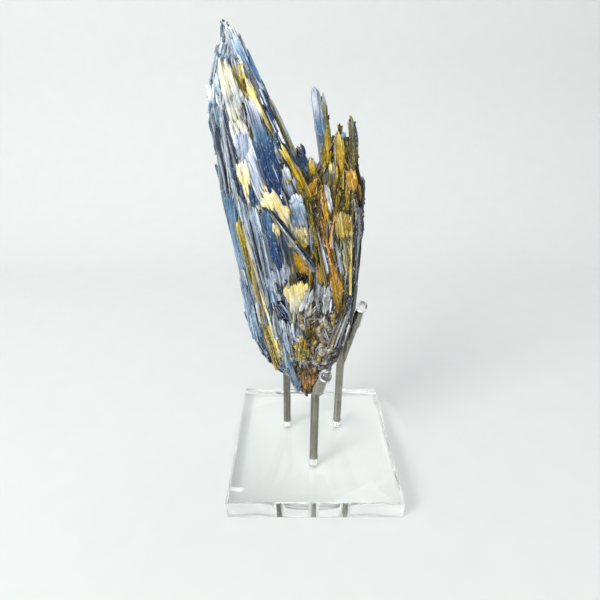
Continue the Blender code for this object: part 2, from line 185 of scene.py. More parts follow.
RIGHT_BLADES = """
blue_crystal -8.6 -13 152  -11 -12 175  7.4 4 12 white pale steel pale
olive_lath 3.4 -12 136  -9.8 -9 179  3.8 3.4 -15 moss olive silver
olive_lath_low 6 -13 124  -6.8 -9 174  3.4 3.2 18 olive sand dark_olive
navy_chunk -6.8 2 172  -8.2 2 194  6.6 6 10 deep navy steel navy
navy_chunk_spike -8.6 2 180  -10.2 2 197.5  1.8 2 0 deep
yellow_spike -2.4 -4 170  -3.7 -4 192  3.2 3 -10 moss>gold butter>gold
twin_blade 4.6 -3 174  -3.2 0 222  4 3 12 lilac>steel>steel>olive pale>moss>gold
twin_thin 7.2 -1 174  0.2 1 219.5  2.6 2.4 -16 silver>moss grey>gold
thin_spike 7.8 -1 176  6 -1 203  1.4 1.4 0 grey>sand
yellow_group 10.8 -4 168  9.2 -2 203  4.2 3.6 14 moss gold butter>gold olive
yellow_thin 9.4 -3 170  8.2 -2.6 207.5  1.8 1.8 -14 sand>gold
blue_bit 12.4 0 174  10.9 0 203  2.2 2.4 10 pale>steel steel>olive
dark_thin 14.2 0 172  12.6 0 202  1.8 3 20 slate dark_olive
tall_grey 17.2 0 168  14.2 0 210  2.4 3 -8 grey olive>slate
tall_grey_edge 18.6 1 168  16.3 1 206  2 3.4 8 silver>olive slate
orange_tab 15 -6 162  14.8 -6 186.5  4.8 3 5 moss amber amber
margin_spike 21 0 128  21.2 1 182.5  3.4 4.4 -12 rust>slate bark>ink slate
margin_blade 19.4 1 106  20.8 2 175  4.8 6 10 slate silver ink grey
margin_back 19 6 110  20.4 6 172  5 5 -30 grey slate ink slate
light_grey 5.6 -12.5 150  2.7 -10 181  3 2.4 16 white silver
cream_lath 7.2 -11.5 140  1 -9 178  3 2.8 -18 butter sand
gold_lath 10.6 -10 112  1.8 -8 168  4.6 3.4 8 gold amber rust
quartz_bits 14.6 -10 124  12.4 -9 169  7.4 4 -8 sand butter white moss sand
olive_group 7.4 -7 162  6 -6 190  4 3.2 12 olive moss silver
olive_back 2.6 0 160  0.6 0 185  5.4 5 -10 moss olive gold moss
right_face 17.4 -6 104  18.6 -5 166  5.4 4 -26 silver slate dark_olive grey
foot_blue -8.6 -3 54.5  -18 -7 92  5.4 4.4 -10 pale steel navy slate
foot_point -3.2 -1 51  -6 -3 82  6.4 6 14 bark rust amber bark
foot_edge 4 1 66  19.4 2 110  5.6 6 -8 grey slate bark silver
arm_rest 9 7 70  20.2 8 112  4.8 7 12 slate grey bark
foot_edge_front 4.4 -5 74  17.2 -7 112  5 4 16 bark silver slate sand
"""
WIDE_BLADE = "twin_blade"       # its laths stay whole

# Laths that show on the front, traced on the photo in pixels: tip, root, width, how far they stand out in mm,
# and colours. The ink and navy laths running from 222,106 down to 246,206 are a painted shadow cast by a
# lath.
FRONT_LATHS = """
tip_spike_face 223.5 19  226.5 34  2.2 0.6 silver ice
tip_blue_edge 235 29  250 68  5 0.7 pale ice steel pale
tip_cream_seam 236 50  243 66  2.6 1 cream white
step_white 218.5 45  223 62  4 0.6 ice white
step_navy_line 215.8 48  219 62  1.6 0.8 steel
step_steel 223 48  231 80  4 0.6 steel pale steel
edge_white_line 246 68  262 96  3 0.8 white ice slate
edge_dark_upper 244 46  262 86  3 0.6 navy steel
edge_dark 252 80  283 148  4 0.9 ink white navy
edge_dark_second 253 86  276 134  4 1 navy ink grey
edge_grey_lath 266 96  276 120  3.4 0.8 grey silver slate
edge_lines 272 116  288 150  4 0.8 ink white slate
edge_white_lower 276 128  286 148  2 1.2 white
corner_blue_line 215.5 74  219 104  2 0.9 navy steel
left_rim_pale 207.6 106  213 140  2.4 0.7 ice silver
left_fibres 213 128  226 176  7 0.7 pale slate silver steel ice
left_fibres_low 216 160  232 206  8 0.7 navy pale slate ice silver
navy_line 222 106  239 168  2.8 1.3 ink navy
navy_line_low 234 160  246 206  2.6 1.3 navy ink
pale_by_navy 222 96  234 140  2.6 1 ice silver
silver_by_navy 228 130  243 190  4 0.9 silver slate ice
tan_line 243 118  252 150  2 1.4 sand bark
tan_by_blue 263 176  268 200  3 1.2 sand rust
clear_rim 224 204  236 252  1.6 1 navy
cream_long 242 222  262 296  1.8 1.6 cream
cream_long_low 260 290  280 356  2.2 1.6 cream butter
dark_end_face 265 346  274 364  2.6 1.2 ink slate
silver_run 241 196  258 256  5 1 silver slate pale
silver_run_low 250 240  266 300  4 1.2 ice slate pale
dark_crack 250 218  262 272  2.6 1.4 ink navy
slate_long 262 268  284 344  4.6 1 slate silver navy
pale_long 270 290  290 352  4 0.9 pale ice slate
low_pale 240 262  247 288  5 0.9 silver pale ice
pale_between 246 262  256 304  3.6 1 silver pale
steel_up 254 204  262 236  6 1 pale ice slate
steel_right 276 222  286 262  8 1.2 steel lilac slate
slate_mid 258 230  270 290  8 0.9 silver slate grey pale
slate_mid_low 266 262  276 296  8 1 silver ice slate
splinter_dark 268 208  294 240  2 2.6 ink
splinter_face 272 212  314 268  4.4 2.2 silver slate
splinter_edge 288 232  315 270  1.6 3 ink
thin_grey 333.6 134  335 166  1.6 0.9 silver sand
yellow_dark 338 160  339 190  2 1.2 rust
dark_green 347.5 140  349 170  4 0.8 slate dark_olive
margin_rust 359 178  361 202  5 1 rust moss bark
margin_bark 363.5 188  364 206  2.4 1 bark slate
olive_long 304 194  318 250  3.6 1.6 moss olive
olive_long_mid 309 200  322 262  3.6 1.5 olive sand dark_olive
olive_long_low 311 206  327 290  2.8 1.5 sand olive
white_long 313 214  323 250  2.2 1.8 ice cream
grey_long 309 222  314 262  3 1.4 silver slate
lilac_long 320 240  328 276  3 1.4 lilac ice
dark_gap 315 230  321 270  1.8 1.4 ink
amber_long 326 236  334 282  5 1 rust amber gold
gold_up_left 318 258  322 288  5 1.2 gold amber sand
grey_bits 338 238  344 276  8 1.1 silver grey slate sand
grey_bits_right 346 236  349 274  6 1 silver slate moss grey
margin_dark 357 206  355 262  7 0.9 slate grey ink silver
margin_dark_edge 362 208  358 270  4 0.8 slate ink
margin_black 352 262  350 312  8 0.8 ink slate ink
margin_low 354 300  338 350  5 0.8 slate silver bark
margin_low_in 346 304  326 360  5 0.9 bark grey sand
margin_low_line 349 310  333 352  1.8 1.4 silver
blue_foot_left 284 346  290 374  4 1 pale steel
"""

# Broken faces, traced on four close-ups of the photo: name, close-up, colours from top to bottom, colour of
# their seams, how fibrous they are and how far they stand out in mm. The lines under each hold its outline,
# across,down on the close-up. The bark-to-ink face below the ochre one is a painted shadow under an
# overhanging blade.
FACES = """
tip_face A white>pale>steel>pale ice 0.6 1
  150,150 190,100 215,110 235,150 260,220 290,300 310,350 300,380 270,360 240,330 215,270 190,240 170,200
tip_block A lilac>pale white 0.5 1
  97,237 120,216 135,242 150,236 165,270 178,325 150,330 112,300
left_step A white>pale>white>pale steel 0.6 0.9
  85,395 105,402 118,450 128,520 140,600 150,680 132,650 110,580 95,520 86,450
left_corner A pale>white>pale lilac 0.5 0.9
  45,475 65,442 85,455 96,520 108,590 85,592 60,570 48,520
left_lower A pale>steel>silver>pale slate 0.8 0.9
  48,605 75,592 105,600 125,680 140,760 155,850 170,940 188,1030 165,1012 140,960 115,925 95,880 80,800
  60,700
cream_blade A cream>cream>silver>cream silver 0.25 1.1
  105,315 135,303 155,318 172,345 190,375 200,412 217,452 237,482 256,512 270,548 260,585 245,625 240,690
  205,692 175,640 160,590 145,520 130,440 118,380
grey_window A silver>grey>silver moss 0.3 1.5
  190,500 215,485 238,512 246,560 228,602 205,590 190,550
olive_grey A silver>olive>moss moss 0.6 0.9
  195,330 225,332 240,380 255,440 272,500 283,542 263,542 245,500 225,468 208,425 196,375
yellow_wedge A butter>butter>gold>butter moss 0.4 1.2
  235,342 255,350 275,375 292,430 308,500 302,535 285,540 270,510 262,460 250,400
yellow_core A bark>rust dark_olive 0.4 1.6
  264,440 275,430 285,470 296,528 282,520 270,480
cream_strip A cream>butter>cream>olive>olive moss 0.5 1.2
  285,425 308,460 338,520 362,570 388,620 420,680 440,740 450,785 433,768 403,712 375,662 350,612 325,565
  300,520
big_blue A white>lilac>steel>navy>navy>deep>navy navy 0.25 1.3
  268,567 285,548 310,545 325,555 337,590 351,625 370,662 388,702 408,742 428,782 448,830 465,880 482,930
  494,980 507,1040 516,1100 512,1150 500,1190 470,1186 440,1168 420,1110 400,1050 385,1000 370,950 356,890
  342,830 327,770 312,700 298,650 284,615
white_face A cream>white>ice>lilac>white lilac 0.25 1.2
  170,692 205,692 245,687 275,702 297,750 317,810 337,880 352,940 367,1000 382,1060 394,1110 390,1150
  374,1186 355,1186 345,1130 330,1080 315,1040 300,1000 270,962 240,932 215,880 200,820 185,760
lilac_spot A lilac>lilac>silver pale 0.3 1.6
  224,790 245,772 278,780 294,830 300,890 292,938 265,946 242,928 230,870
cream_low A cream>butter>cream white 0.3 1.3
  225,950 255,945 285,965 300,1000 305,1060 300,1120 306,1186 287,1186 268,1120 252,1060 238,1000
blue_low A steel>navy>steel slate 0.4 1.2
  308,1085 330,1080 345,1122 356,1190 350,1240 325,1250 308,1190 305,1130
pale_knobby A ice>lilac>pale white 0.5 1.2
  500,992 530,986 560,1010 582,1060 602,1120 592,1190 560,1190 530,1150 510,1090
gold_strip A butter>moss>gold>moss gold 0.4 1.3
  497,850 520,846 545,890 562,930 578,970 600,1010 620,1060 642,1110 667,1165 650,1172 620,1120 590,1060
  565,1010 545,970 520,930 502,890
dark_pocket A ink>dark_olive bark 0.5 0.7
  495,930 520,925 545,965 560,1000 540,1000 505,985
clear_edge B steel>steel>steel>pale pale 0.2 1
  155,117 190,110 215,180 235,270 255,370 275,470 286,530 262,558 245,540 225,460 205,370 185,270 162,170
gold_stripe B butter>moss>olive>moss olive 0.6 1.1
  215,190 240,250 265,290 290,370 315,460 335,540 347,600 350,660 335,680 315,640 295,560 275,460 250,370
  235,300
gold_low B olive>moss>sand>olive bark 0.6 1.1
  362,780 392,790 410,850 430,930 450,1000 477,1060 507,1150 490,1165 460,1120 430,1040 405,960 382,880
low_blue B steel>pale>steel ice 0.4 0.9
  262,642 290,642 310,700 330,800 350,880 380,950 380,1000 350,1010 320,960 300,880 280,780
navy_blade B steel>steel>navy>navy>deep deep 0.2 1.3
  385,180 412,185 437,230 430,260 437,300 457,370 482,450 503,530 502,560 485,585 465,530 440,450 415,370
  400,300 385,240
cream_sheet B cream>butter>cream cream 0.2 1.2
  413,55 440,50 470,90 490,140 520,170 550,188 554,290 540,302 520,262 490,232 460,202 430,180 390,160
  395,120
cream_spot B cream>sand sand 0.3 1.5
  440,287 460,270 485,290 495,330 490,370 470,380 450,340
crystal B ice>pale>steel>silver silver 0.3 1.2
  563,160 578,122 600,103 625,123 647,160 657,200 660,250 640,292 605,302 578,270 568,220
crystal_cap B ice>pale lilac 0.2 1.6
  563,145 575,108 600,98 637,123 643,152 612,138 585,150
cream_under B cream>butter sand 0.3 1.2
  595,320 630,308 666,315 669,370 660,400 640,402 610,380
moss_under B moss>gold gold 0.5 1
  588,390 640,400 662,412 650,442 620,436
ochre_recess B gold>amber sand 0.4 0.8
  548,482 580,460 602,455 642,490 692,540 720,572 700,602 650,590 610,580 570,560
dark_recess B bark>ink rust 0.5 0.7
  570,582 620,586 660,602 650,638 595,640 557,622
cream_patch B butter>cream>silver sand 0.14 1.3
  523,692 560,672 600,660 640,643 667,650 667,690 642,740 622,790 602,836 575,836 560,790 540,740
black_pocket B ink>deep pale 0.8 0.9
  438,762 480,750 530,790 557,830 552,870 512,882 480,850 450,800
grey_mass B silver>lilac>silver grey 0.6 1.1
  500,560 535,515 562,560 565,600 548,640 520,662 470,642 448,602 470,580
twin_blue C lilac>ice>steel>steel>olive>moss pale 0.25 1.2
  250,100 262,70 285,63 300,82 308,130 316,190 325,250 335,310 345,370 345,420 335,450 332,520 332,600
  337,690 322,690 312,560 298,440 280,330 265,230 255,150
twin_gold C silver>olive>moss>gold>gold olive 0.3 1.1
  328,115 338,110 348,170 360,240 372,320 381,400 391,480 399,560 406,640 385,662 342,690 336,600 336,520
  347,440 351,380 345,320 335,240 328,170
yellow_group C butter>gold>gold>amber moss 0.4 1.2
  433,450 445,428 460,418 476,435 491,470 501,500 506,560 496,640 481,702 460,692 450,640 440,560 430,500
blue_bit C pale>steel lilac 0.3 1.1
  473,408 500,413 507,440 497,465 480,452
tall_grey C grey>slate>olive>slate olive 0.5 1.1
  548,295 562,298 573,360 591,360 596,420 594,520 592,620 594,700 560,702 549,620 545,520 548,420
olive_mid C butter>moss>olive>olive silver 0.5 1.2
  385,662 410,650 440,665 446,720 441,800 431,880 410,882 395,800 386,730
orange_tab C amber>amber>amber>gold butter 0.3 1.3
  520,722 560,708 582,730 593,780 591,860 570,872 545,840 530,790
light_lath C silver>white>silver ice 0.4 1.5
  345,830 365,820 381,880 401,940 413,1000 400,1040 385,1000 370,960 355,900
gold_left C gold>amber>gold>rust rust 0.5 1.2
  315,880 345,868 357,930 372,1000 382,1080 376,1150 360,1120 345,1060 327,960
rust_streak C rust>bark>rust amber 0.6 0.9
  290,1000 315,1010 335,1080 350,1140 367,1200 372,1260 345,1252 325,1180 305,1100
yellow_spike C butter>gold>moss gold 0.4 1.2
  235,642 250,620 268,650 276,690 270,730 245,722 232,690
navy_chunk C navy>deep>steel deep 0.4 1
  100,637 120,605 155,600 165,575 172,510 185,512 200,600 218,660 207,692 170,690 140,680 115,670
quartz_a C sand>sand>moss gold 0.4 1.29
  425,1062 450,1040 480,1050 491,1100 482,1150 500,1200 492,1260 460,1242 440,1182 426,1120
quartz_b C sand>gold>moss moss 0.4 1.2
  492,1030 520,1030 541,1080 549,1160 541,1230 520,1222 505,1150
dark_margin C slate>ink>slate>ink silver 0.9 0.9
  592,1000 640,990 650,1060 650,1150 640,1250 620,1300 600,1292 590,1200 600,1100
olive_long C moss>olive>sand>olive dark_olive 0.5 1.1
  180,880 205,930 225,1000 250,1090 270,1200 285,1300 265,1292 240,1180 210,1060 190,960
knob_white D white>silver>white silver 0.5 1.3
  302,372 330,332 350,300 370,332 362,400 332,432 302,462 280,452
knob_grey D silver>grey>silver white 0.6 1.2
  380,332 410,300 450,300 480,340 491,400 482,460 440,472 400,452 385,400
knob_black D ink>ink slate 0.6 1.5
  402,400 418,392 432,430 430,470 412,466
amber_column D rust>bark>amber>gold>rust amber 0.6 1
  442,20 478,28 500,120 520,200 545,280 560,330 551,400 530,470 511,460 500,380 490,300 470,220 455,120
grey_low D ice>pale>silver silver 0.5 1.1
  150,522 200,540 240,560 250,620 230,690 250,760 220,742 180,690 160,620
ochre_low D gold>olive>sand sand 0.6 1.1
  260,682 290,660 330,680 341,740 311,790 270,790 255,740
foot_blue D steel>pale>steel navy 0.4 1.1
  190,772 230,780 250,830 262,900 292,940 270,960 240,942 215,880
foot_point D rust>amber>rust bark 0.5 1.1
  302,890 340,872 380,880 370,920 345,985 320,970 300,930
"""
# Left and top pixel of each close-up, and how much it enlarges
CLOSE_UPS = {"A": (200, 10, 6.233), "B": (200, 180, 6.233), "C": (280, 80, 7.77), "D": (256, 240, 6.44)}

# Colours of the rough skin on the front: middle, radii across and high, colours. The dark zone at -10 -11 133
# is a painted shadow under an overhanging blade.
ZONES = """
-41 -2 236  7 16 ice pale white steel lilac
-32 -2 226  6 14 pale steel white navy ice
-50 -1 208  5 20 pale ice silver steel pale
-47 -3 185  5 20 pale silver ice steel slate
-11 -18 126  6 8 butter cream white sand
-20 -12 116  6 8 ink slate deep ink
-9 -9 140  7 7 gold amber sand rust
-10 -11 133  5 3 bark dark_olive ink
5 -15 122  5 10 slate silver grey white ink
10 -12 125  4 13 amber gold butter rust amber
5 -13 155  4.5 24 rust amber bark rust gold
-3 -6 176  7 6 amber gold moss rust
-5 -1 182  9 8 moss butter olive gold sand
12 -11 163  5 11 gold sand butter moss olive
13 -11 145  6 12 grey silver slate moss sand olive
20 -1 176  3 10 rust bark moss amber
11 -5 188  8 18 gold moss butter olive sand
21 -7 147  5 34 slate ink grey silver ink
16 -8 106  8 25 ink slate bark grey silver
-3 -13 101  3 7 gold umber olive rust
-11 -13 89  3 8 olive sand gold tan
-4 -9 72  11 8 tan umber bark rust umber tan
-4 -5 59  5 5 rust amber bark
-17 -11 101  7 16 ice pale silver slate white
-6 -14 104  11 21 grey silver slate tan silver tan sand umber tan bark
10 -16 96  9 15 bark tan grey silver umber dark_olive
-34 -3 95  6 13 slate steel pale grey
-15 -14 183  4 9 silver ice lilac slate
-17 -12 191  3 4 dark_olive ink bark
-24 -17 153  12 26 pale silver ice silver white pale
-8 -15 155  4 8 cream sand moss olive
-2 -11 159  4 22 olive moss silver sand slate
"""


def rows(text):
    """Lines of a table as pairs: the numbers and the words of each."""
    pairs = []
    for line in text.strip().splitlines():
        cells = line.split()
        numbers = [float(cell) for cell in cells if cell[-1].isdigit()]
        pairs.append((numbers, [cell for cell in cells if not cell[-1].isdigit()]))
    return pairs


def traced_faces():
    """Each broken face's words and numbers, with its outline in pixels of the photo."""
    faces = []
    for line in FACES.strip().splitlines():
        if not line.startswith(" "):
            _, close_up, names, second, fibre, lift = line.split()
            faces.append((names, second, float(fibre), float(lift), []))
            left, top, enlarged = CLOSE_UPS[close_up]
            continue
        for cell in line.split():
            x, y = cell.split(",")
            faces[-1][-1].append((left + int(x) / enlarged, top + int(y) / enlarged))
    return faces


def linear(rgb):
    """sRGB of 0 to 255 as linear colour."""
    return [(c / 255 / 12.92) if c <= 10 else ((c / 255 + 0.055) / 1.055) ** 2.4 for c in rgb]


COLOURS = {name: Vector(linear(rgb)) for name, rgb in PALETTE.items()}


def lerp(a, b, t):
    return a + (b - a) * t


def clamp(value, low=0.0, high=1.0):
    return min(high, max(low, value))


def linked(name, data):
    """A new object in the scene."""
    item = bpy.data.objects.new(name, data)
    bpy.context.scene.collection.objects.link(item)
    return item


def place_piece(name, mesh, nodes):
    piece = linked(name, mesh)
    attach(piece, "root")
    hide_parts(*nodes)
    return piece


# Places on the photo, brought onto the part's own solid

def camera_axes():
    """Unit vectors to the right of the photograph's camera, up and forward."""
    pitch, yaw, roll = (math.radians(angle) for angle in (PITCH, YAW, ROLL))
    forward = np.array((math.sin(yaw) * math.cos(pitch), math.cos(yaw) * math.cos(pitch), -math.sin(pitch)))
    level = np.array((math.cos(yaw), -math.sin(yaw), 0.0))
    rise = np.cross(level, forward)
    right = level * math.cos(roll) + rise * math.sin(roll)
    return right, rise * math.cos(roll) - level * math.sin(roll), forward


RIGHT, UP, FORWARD = camera_axes()


def sight(spot):
    """Direction in which the camera sees a pixel."""
    return FORWARD + RIGHT * (spot[0] - PHOTO_SIDE / 2) / FOCAL - UP * (spot[1] - PHOTO_SIDE / 2) / FOCAL


def seen_on(spot, at, across=0.0, high=0.0):
    """Where a pixel's line of sight meets the plane depth = at + across x + high z."""
    way = sight(spot)
    reach = (at + across * EYE[0] + high * EYE[2] - EYE[1]) / (way[1] - across * way[0] - high * way[2])
    return EYE + way * reach


class Skin:
    """Surface of the part's own solid, which the laths follow."""

    def __init__(self, item):
        mesh = item.data
        turn = item.matrix_world
        self.points = [(turn @ vert.co) / MM for vert in mesh.vertices]
        self.faces = [tuple(face.vertices) for face in mesh.polygons]
        self.tree = BVHTree.FromPolygons(self.points, self.faces)
        self.sums, total = [], 0.0
        for face in mesh.polygons:
            total += face.area
            self.sums.append(total)

    def pick(self, chance):
        """A point of the skin, even over its area, with the face's normal."""
        face = self.faces[bisect.bisect_left(self.sums, chance.uniform(0, self.sums[-1]) * 0.999999)]
        i = chance.randrange(1, len(face) - 1)
        a, b, c = self.points[face[0]], self.points[face[i]], self.points[face[i + 1]]
        u, v = chance.random(), chance.random()
        if u + v > 1:
            u, v = 1 - u, 1 - v
        normal = (b - a).cross(c - a)
        if normal.length < 1e-9:
            return None, None
        return a + (b - a) * u + (c - a) * v, normal.normalized()

    def away(self, point):
        """The skin's nearest point, and how far off it is."""
        near, _, _, distance = self.tree.find_nearest(point)
        return near, distance

    def seen(self, spot):
        """The skin's point under a pixel of the photo, or None."""
        way = sight(spot)
        return self.tree.ray_cast(Vector(EYE), Vector(way / np.linalg.norm(way)))[0]

    def depth_near(self, spot):
        """Depth of the skin under a pixel, or beside it where the skin ends."""
        for step in (0, 1, 2, 3, 5, 8, 12):
            for way in ((0, 0), (step, 0), (-step, 0), (0, step), (0, -step)):
                point = self.seen(spot + np.array(way))
                if point is not None:
                    return point.y
        return 0.0


TRACE_STEPS = 7
FRONT_SHARE = 15                # per cent of the skin's points that may lie in front of a lath
FACE_SHARE = 25                 # and of a broken face
FACE_RINGS = (1.0, 0.7, 0.4)    # shares of an outline where the skin is felt
FACE_STIFF = np.diag((0, 60, 200))  # keeps its plane from tipping over
FACE_TILT = np.array((0.7, 0.3))


def front_lath(skin, tip, root, width, lift):
    """A traced lath's root, tip and width in mm. It lies straight, in front of most of the skin under it."""
    tip, root = np.array(tip), np.array(root)
    share = np.linspace(0, 1, TRACE_STEPS)
    depths = np.array([skin.depth_near(lerp(tip, root, t)) for t in share])
    line = np.stack((1 - share, share), 1)
    ends = np.linalg.lstsq(line, depths, rcond=None)[0]
    ends += np.percentile(depths - line @ ends, FRONT_SHARE) - lift
    top, foot = seen_on(tip, ends[0]), seen_on(root, ends[1])
    distance = ((top + foot) / 2 - EYE) @ FORWARD
    return np.round(foot * 2) / 2, np.round(top * 2) / 2, round(float(width * distance / FOCAL), 1)


def face_place(skin, outline, lift):
    """A traced face's plane, fitted to the skin under it, and its outline on that plane in mm."""
    outline = np.array(outline)
    middle = outline.mean(0)
    spots = [lerp(middle, spot, ring) for spot in outline for ring in FACE_RINGS] + [middle]
    hits = np.array([point for point in map(skin.seen, spots) if point is not None])
    centre = hits.mean(0)
    terms = np.stack((np.ones(len(hits)), hits[:, 0] - centre[0], hits[:, 2] - centre[2]), 1)
    fit = np.linalg.solve(terms.T @ terms + FACE_STIFF, terms.T @ hits[:, 1])
    fit[1:] = np.clip(fit[1:], -FACE_TILT, FACE_TILT)
    at = fit[0] + np.percentile(hits[:, 1] - terms @ fit, FACE_SHARE) - lift - fit[1:] @ centre[[0, 2]]
    plane = round(float(at), 1), round(float(fit[1]), 2), round(float(fit[2]), 3)
    places = [seen_on(spot, *plane) for spot in outline]
    return plane, [(round(float(x), 1), round(float(z), 1)) for x, _, z in places]


# Pieces built point by point

class Pile:
    """Points, faces, colours and grain of one piece while its crystals are added."""

    def __init__(self, name):
        self.name = name
        self.points, self.faces, self.tints, self.grains = [], [], [], []

    def ring_solid(self, rings, tints, grains):
        """A closed solid skinned over rings of points that run anticlockwise about its length."""
        first, count = len(self.points), len(rings[0])
        for ring, tint, grain in zip(rings, tints, grains):
            self.points.extend(ring)
            self.tints.extend(tint)
            self.grains.extend(grain)
        for k in range(len(rings) - 1):
            low = first + k * count
            for i in range(count):
                j = (i + 1) % count
                self.faces.append((low + i, low + j, low + count + j, low + count + i))
        self.faces.append(tuple(range(first + count - 1, first - 1, -1)))
        self.faces.append(tuple(first + (len(rings) - 1) * count + i for i in range(count)))

    def make(self, material):
        mesh = bpy.data.meshes.new(self.name)
        mesh.from_pydata([point * MM for point in self.points], [], self.faces)
        paint(mesh, self.tints, self.grains)
        mesh.materials.append(material)
        mesh.validate()
        return place_piece(self.name, mesh, ("kyanite_cluster",))


def paint(mesh, tints, grains):
    """Keep each point's two colours and its place in the crystal's own grain."""
    for k, name in enumerate(("tint", "tint_two")):
        layer = mesh.attributes.new(name, 'FLOAT_COLOR', 'POINT')
        layer.data.foreach_set("color", [value for pair in tints for value in pair[k]])
    layer = mesh.attributes.new("grain", 'FLOAT_VECTOR', 'POINT')
    layer.data.foreach_set("vector", [value for place in grains for value in place])


def grain_place(chance):
    return Vector([chance.uniform(-GRAIN_REACH, GRAIN_REACH) for _ in range(3)])


def tints_of(base, other, value, fleck_and_glint, fibre):
    """A point's two colours at one brightness, with its share of pale flecking and painted glints and how
    fibrous it is.
    """
    return (*(base * value), fleck_and_glint), (*(other * value), fibre)


def axes(root, tip, turn):
    """Length, unit vectors along, across and out of a lath's back."""
    along = tip - root
    length = along.length
    along.normalize()
    across = Vector((math.cos(math.radians(turn)), math.sin(math.radians(turn)), 0.0))
    across = (across - along * across.dot(along)).normalized()
    return length, along, across, along.cross(across)


def turn_of(side):
    """Angle of a lath's width about the vertical, in degrees."""
    return math.degrees(math.atan2(side.y, side.x))


def tint_at(run, t):
    """Colour at t, 0 at the tip to 1 at the root, of a run such as ice>steel."""
    shades = [COLOURS[name] for name in run.split(">")]
    place = t * (len(shades) - 1)
    k = min(int(place), len(shades) - 2)
    return shades[0] if k < 0 else shades[k].lerp(shades[k + 1], clamp(place - k))


def lath(pile, root, tip, width, thick, turn, run, second, chance, slant=0.6, rings=9, flat=False, shade=1.0,
         fleck_and_glint=0.5, fibre=0.7, buried=False, span=(0.0, 1.0), calm=0.0):
    """One crystal lath: bevelled edges, small ledges along its faces and splintered ends.

    A buried lath thins out and dips under the skin at both ends. Its right flank and back are darkened
    with painted shade and its left edge whitened with a painted highlight. A calm one has quiet edges,
    with less of both, so that it merges with the next into one smooth face.
    """
    root, tip = Vector(root), Vector(tip)
    length, along, across, back = axes(root, tip, turn)
    half, deep = width / 2, thick / 2
    columns, wear = (5, 0.05) if flat else (2, 0.18)
    left_bevel, right_bevel = chance.uniform(0.08, 0.34), chance.uniform(0.08, 0.34)
    if flat:
        left_bevel, right_bevel = 0.07, 0.10
    offset = grain_place(chance)
    inner = rings - (4 if buried else 3)
    places = [k / (inner + 1) + chance.uniform(-0.3, 0.3) / (inner + 1) for k in range(1, inner + 1)]
    if buried:
        taper = min(0.3, chance.uniform(3.0, 6.0) * (1 - 0.7 * calm) / length)
        stations = [(0.0, 0.08), (taper * 0.5, 0.6)]
        widest_end = 0.3
    else:
        taper = min(0.12, 2.2 / length)
        stations = [(0.0, 1.0)]
        widest_end = 0.5
    stations += [(lerp(taper, 1 - taper, place), 1.0) for place in places]
    stations += [(1 - taper * 0.5, chance.uniform(0.5, 0.9)), (1.0, chance.uniform(0.05, widest_end))]
    tip_side = chance.uniform(-0.7, 0.5)
    pale = root.z > PALE_FROM and sheaf_at(root)[0] == "left"
    quiet = max(calm, PALE_CALM) if pale else calm
    if pale:
        light = shade * lerp(lerp(1.0, PALE_LIGHT, min(1.0, (root.z - PALE_FROM) / PALE_SPAN)), 1.0, calm)
    else:
        light = max(0.1, shade + ROUGH_CONTRAST * (shade - 0.95))
        fleck_and_glint = min(1.0, fleck_and_glint * ROUGH_FLECKS_AND_GLINTS)
    ledge = 0.0
    solid, tints, grains = [], [], []
    for k, (t, full) in enumerate(stations):
        if chance.random() < 0.35 and not flat:
            ledge = chance.uniform(-0.35, 0.12) * deep
        narrow = full * (1.0 + chance.uniform(-wear, wear * 0.3))
        aside = tip_side * half * (1 - full) * (1 if t > 0.5 else 0.4)
        drift = chance.uniform(-wear, wear) * half * 0.5 + aside
        x_left, x_right = drift - half * narrow, drift + half * narrow
        d = (deep + ledge) * (0.45 + 0.55 * full)
        sunk = deep * 1.2 * (1 - full) if buried else 0.0
        bevels = lerp(x_left, x_right, left_bevel), lerp(x_right, x_left, right_bevel)
        section = [(x_right, 0.0), (bevels[1], d), (bevels[0], d), (x_left, 0.0)]
        for i in range(columns):
            rough = chance.uniform(-0.05, 0.05) if flat else chance.uniform(-0.2, 0.1)
            section.append((lerp(*bevels, i / (columns - 1)), -d * (1.0 + rough)))
        down = clamp(lerp(*span, 1 - t))
        base, other = tint_at(run, down), tint_at(second, down)
        ring, ring_tint, ring_grain = [], [], []
        for i, (x, y) in enumerate(section):
            drop = slant * (half + x) * max(0.0, t - 0.8) / 0.2 if k >= len(stations) - 2 else 0.0
            ring.append(root + along * (length * t - drop) + across * x + back * (y + sunk))
            # painted shade: the right flank and back are darkened, less on a calm or pale lath
            flank = lerp(PAINTED_SHADE_FLANKS[min(i, 4)], 1.0, quiet)
            value = light * (1.0 + chance.uniform(-0.12, 0.12) * (1 - calm)) * flank
            # painted highlight: the left edge, which faces the key lamp, is whitened
            rim = base.lerp(COLOURS["white"], PAINTED_EDGE_HIGHLIGHT * (1 - calm) if i == 3 else 0.0)
            ring_tint.append(tints_of(rim, other, value, fleck_and_glint, fibre))
            ring_grain.append(Vector((x, y, length * t)) + offset)
        solid.append(ring)
        tints.append(ring_tint)
        grains.append(ring_grain)
    pile.ring_solid(solid, tints, grains)


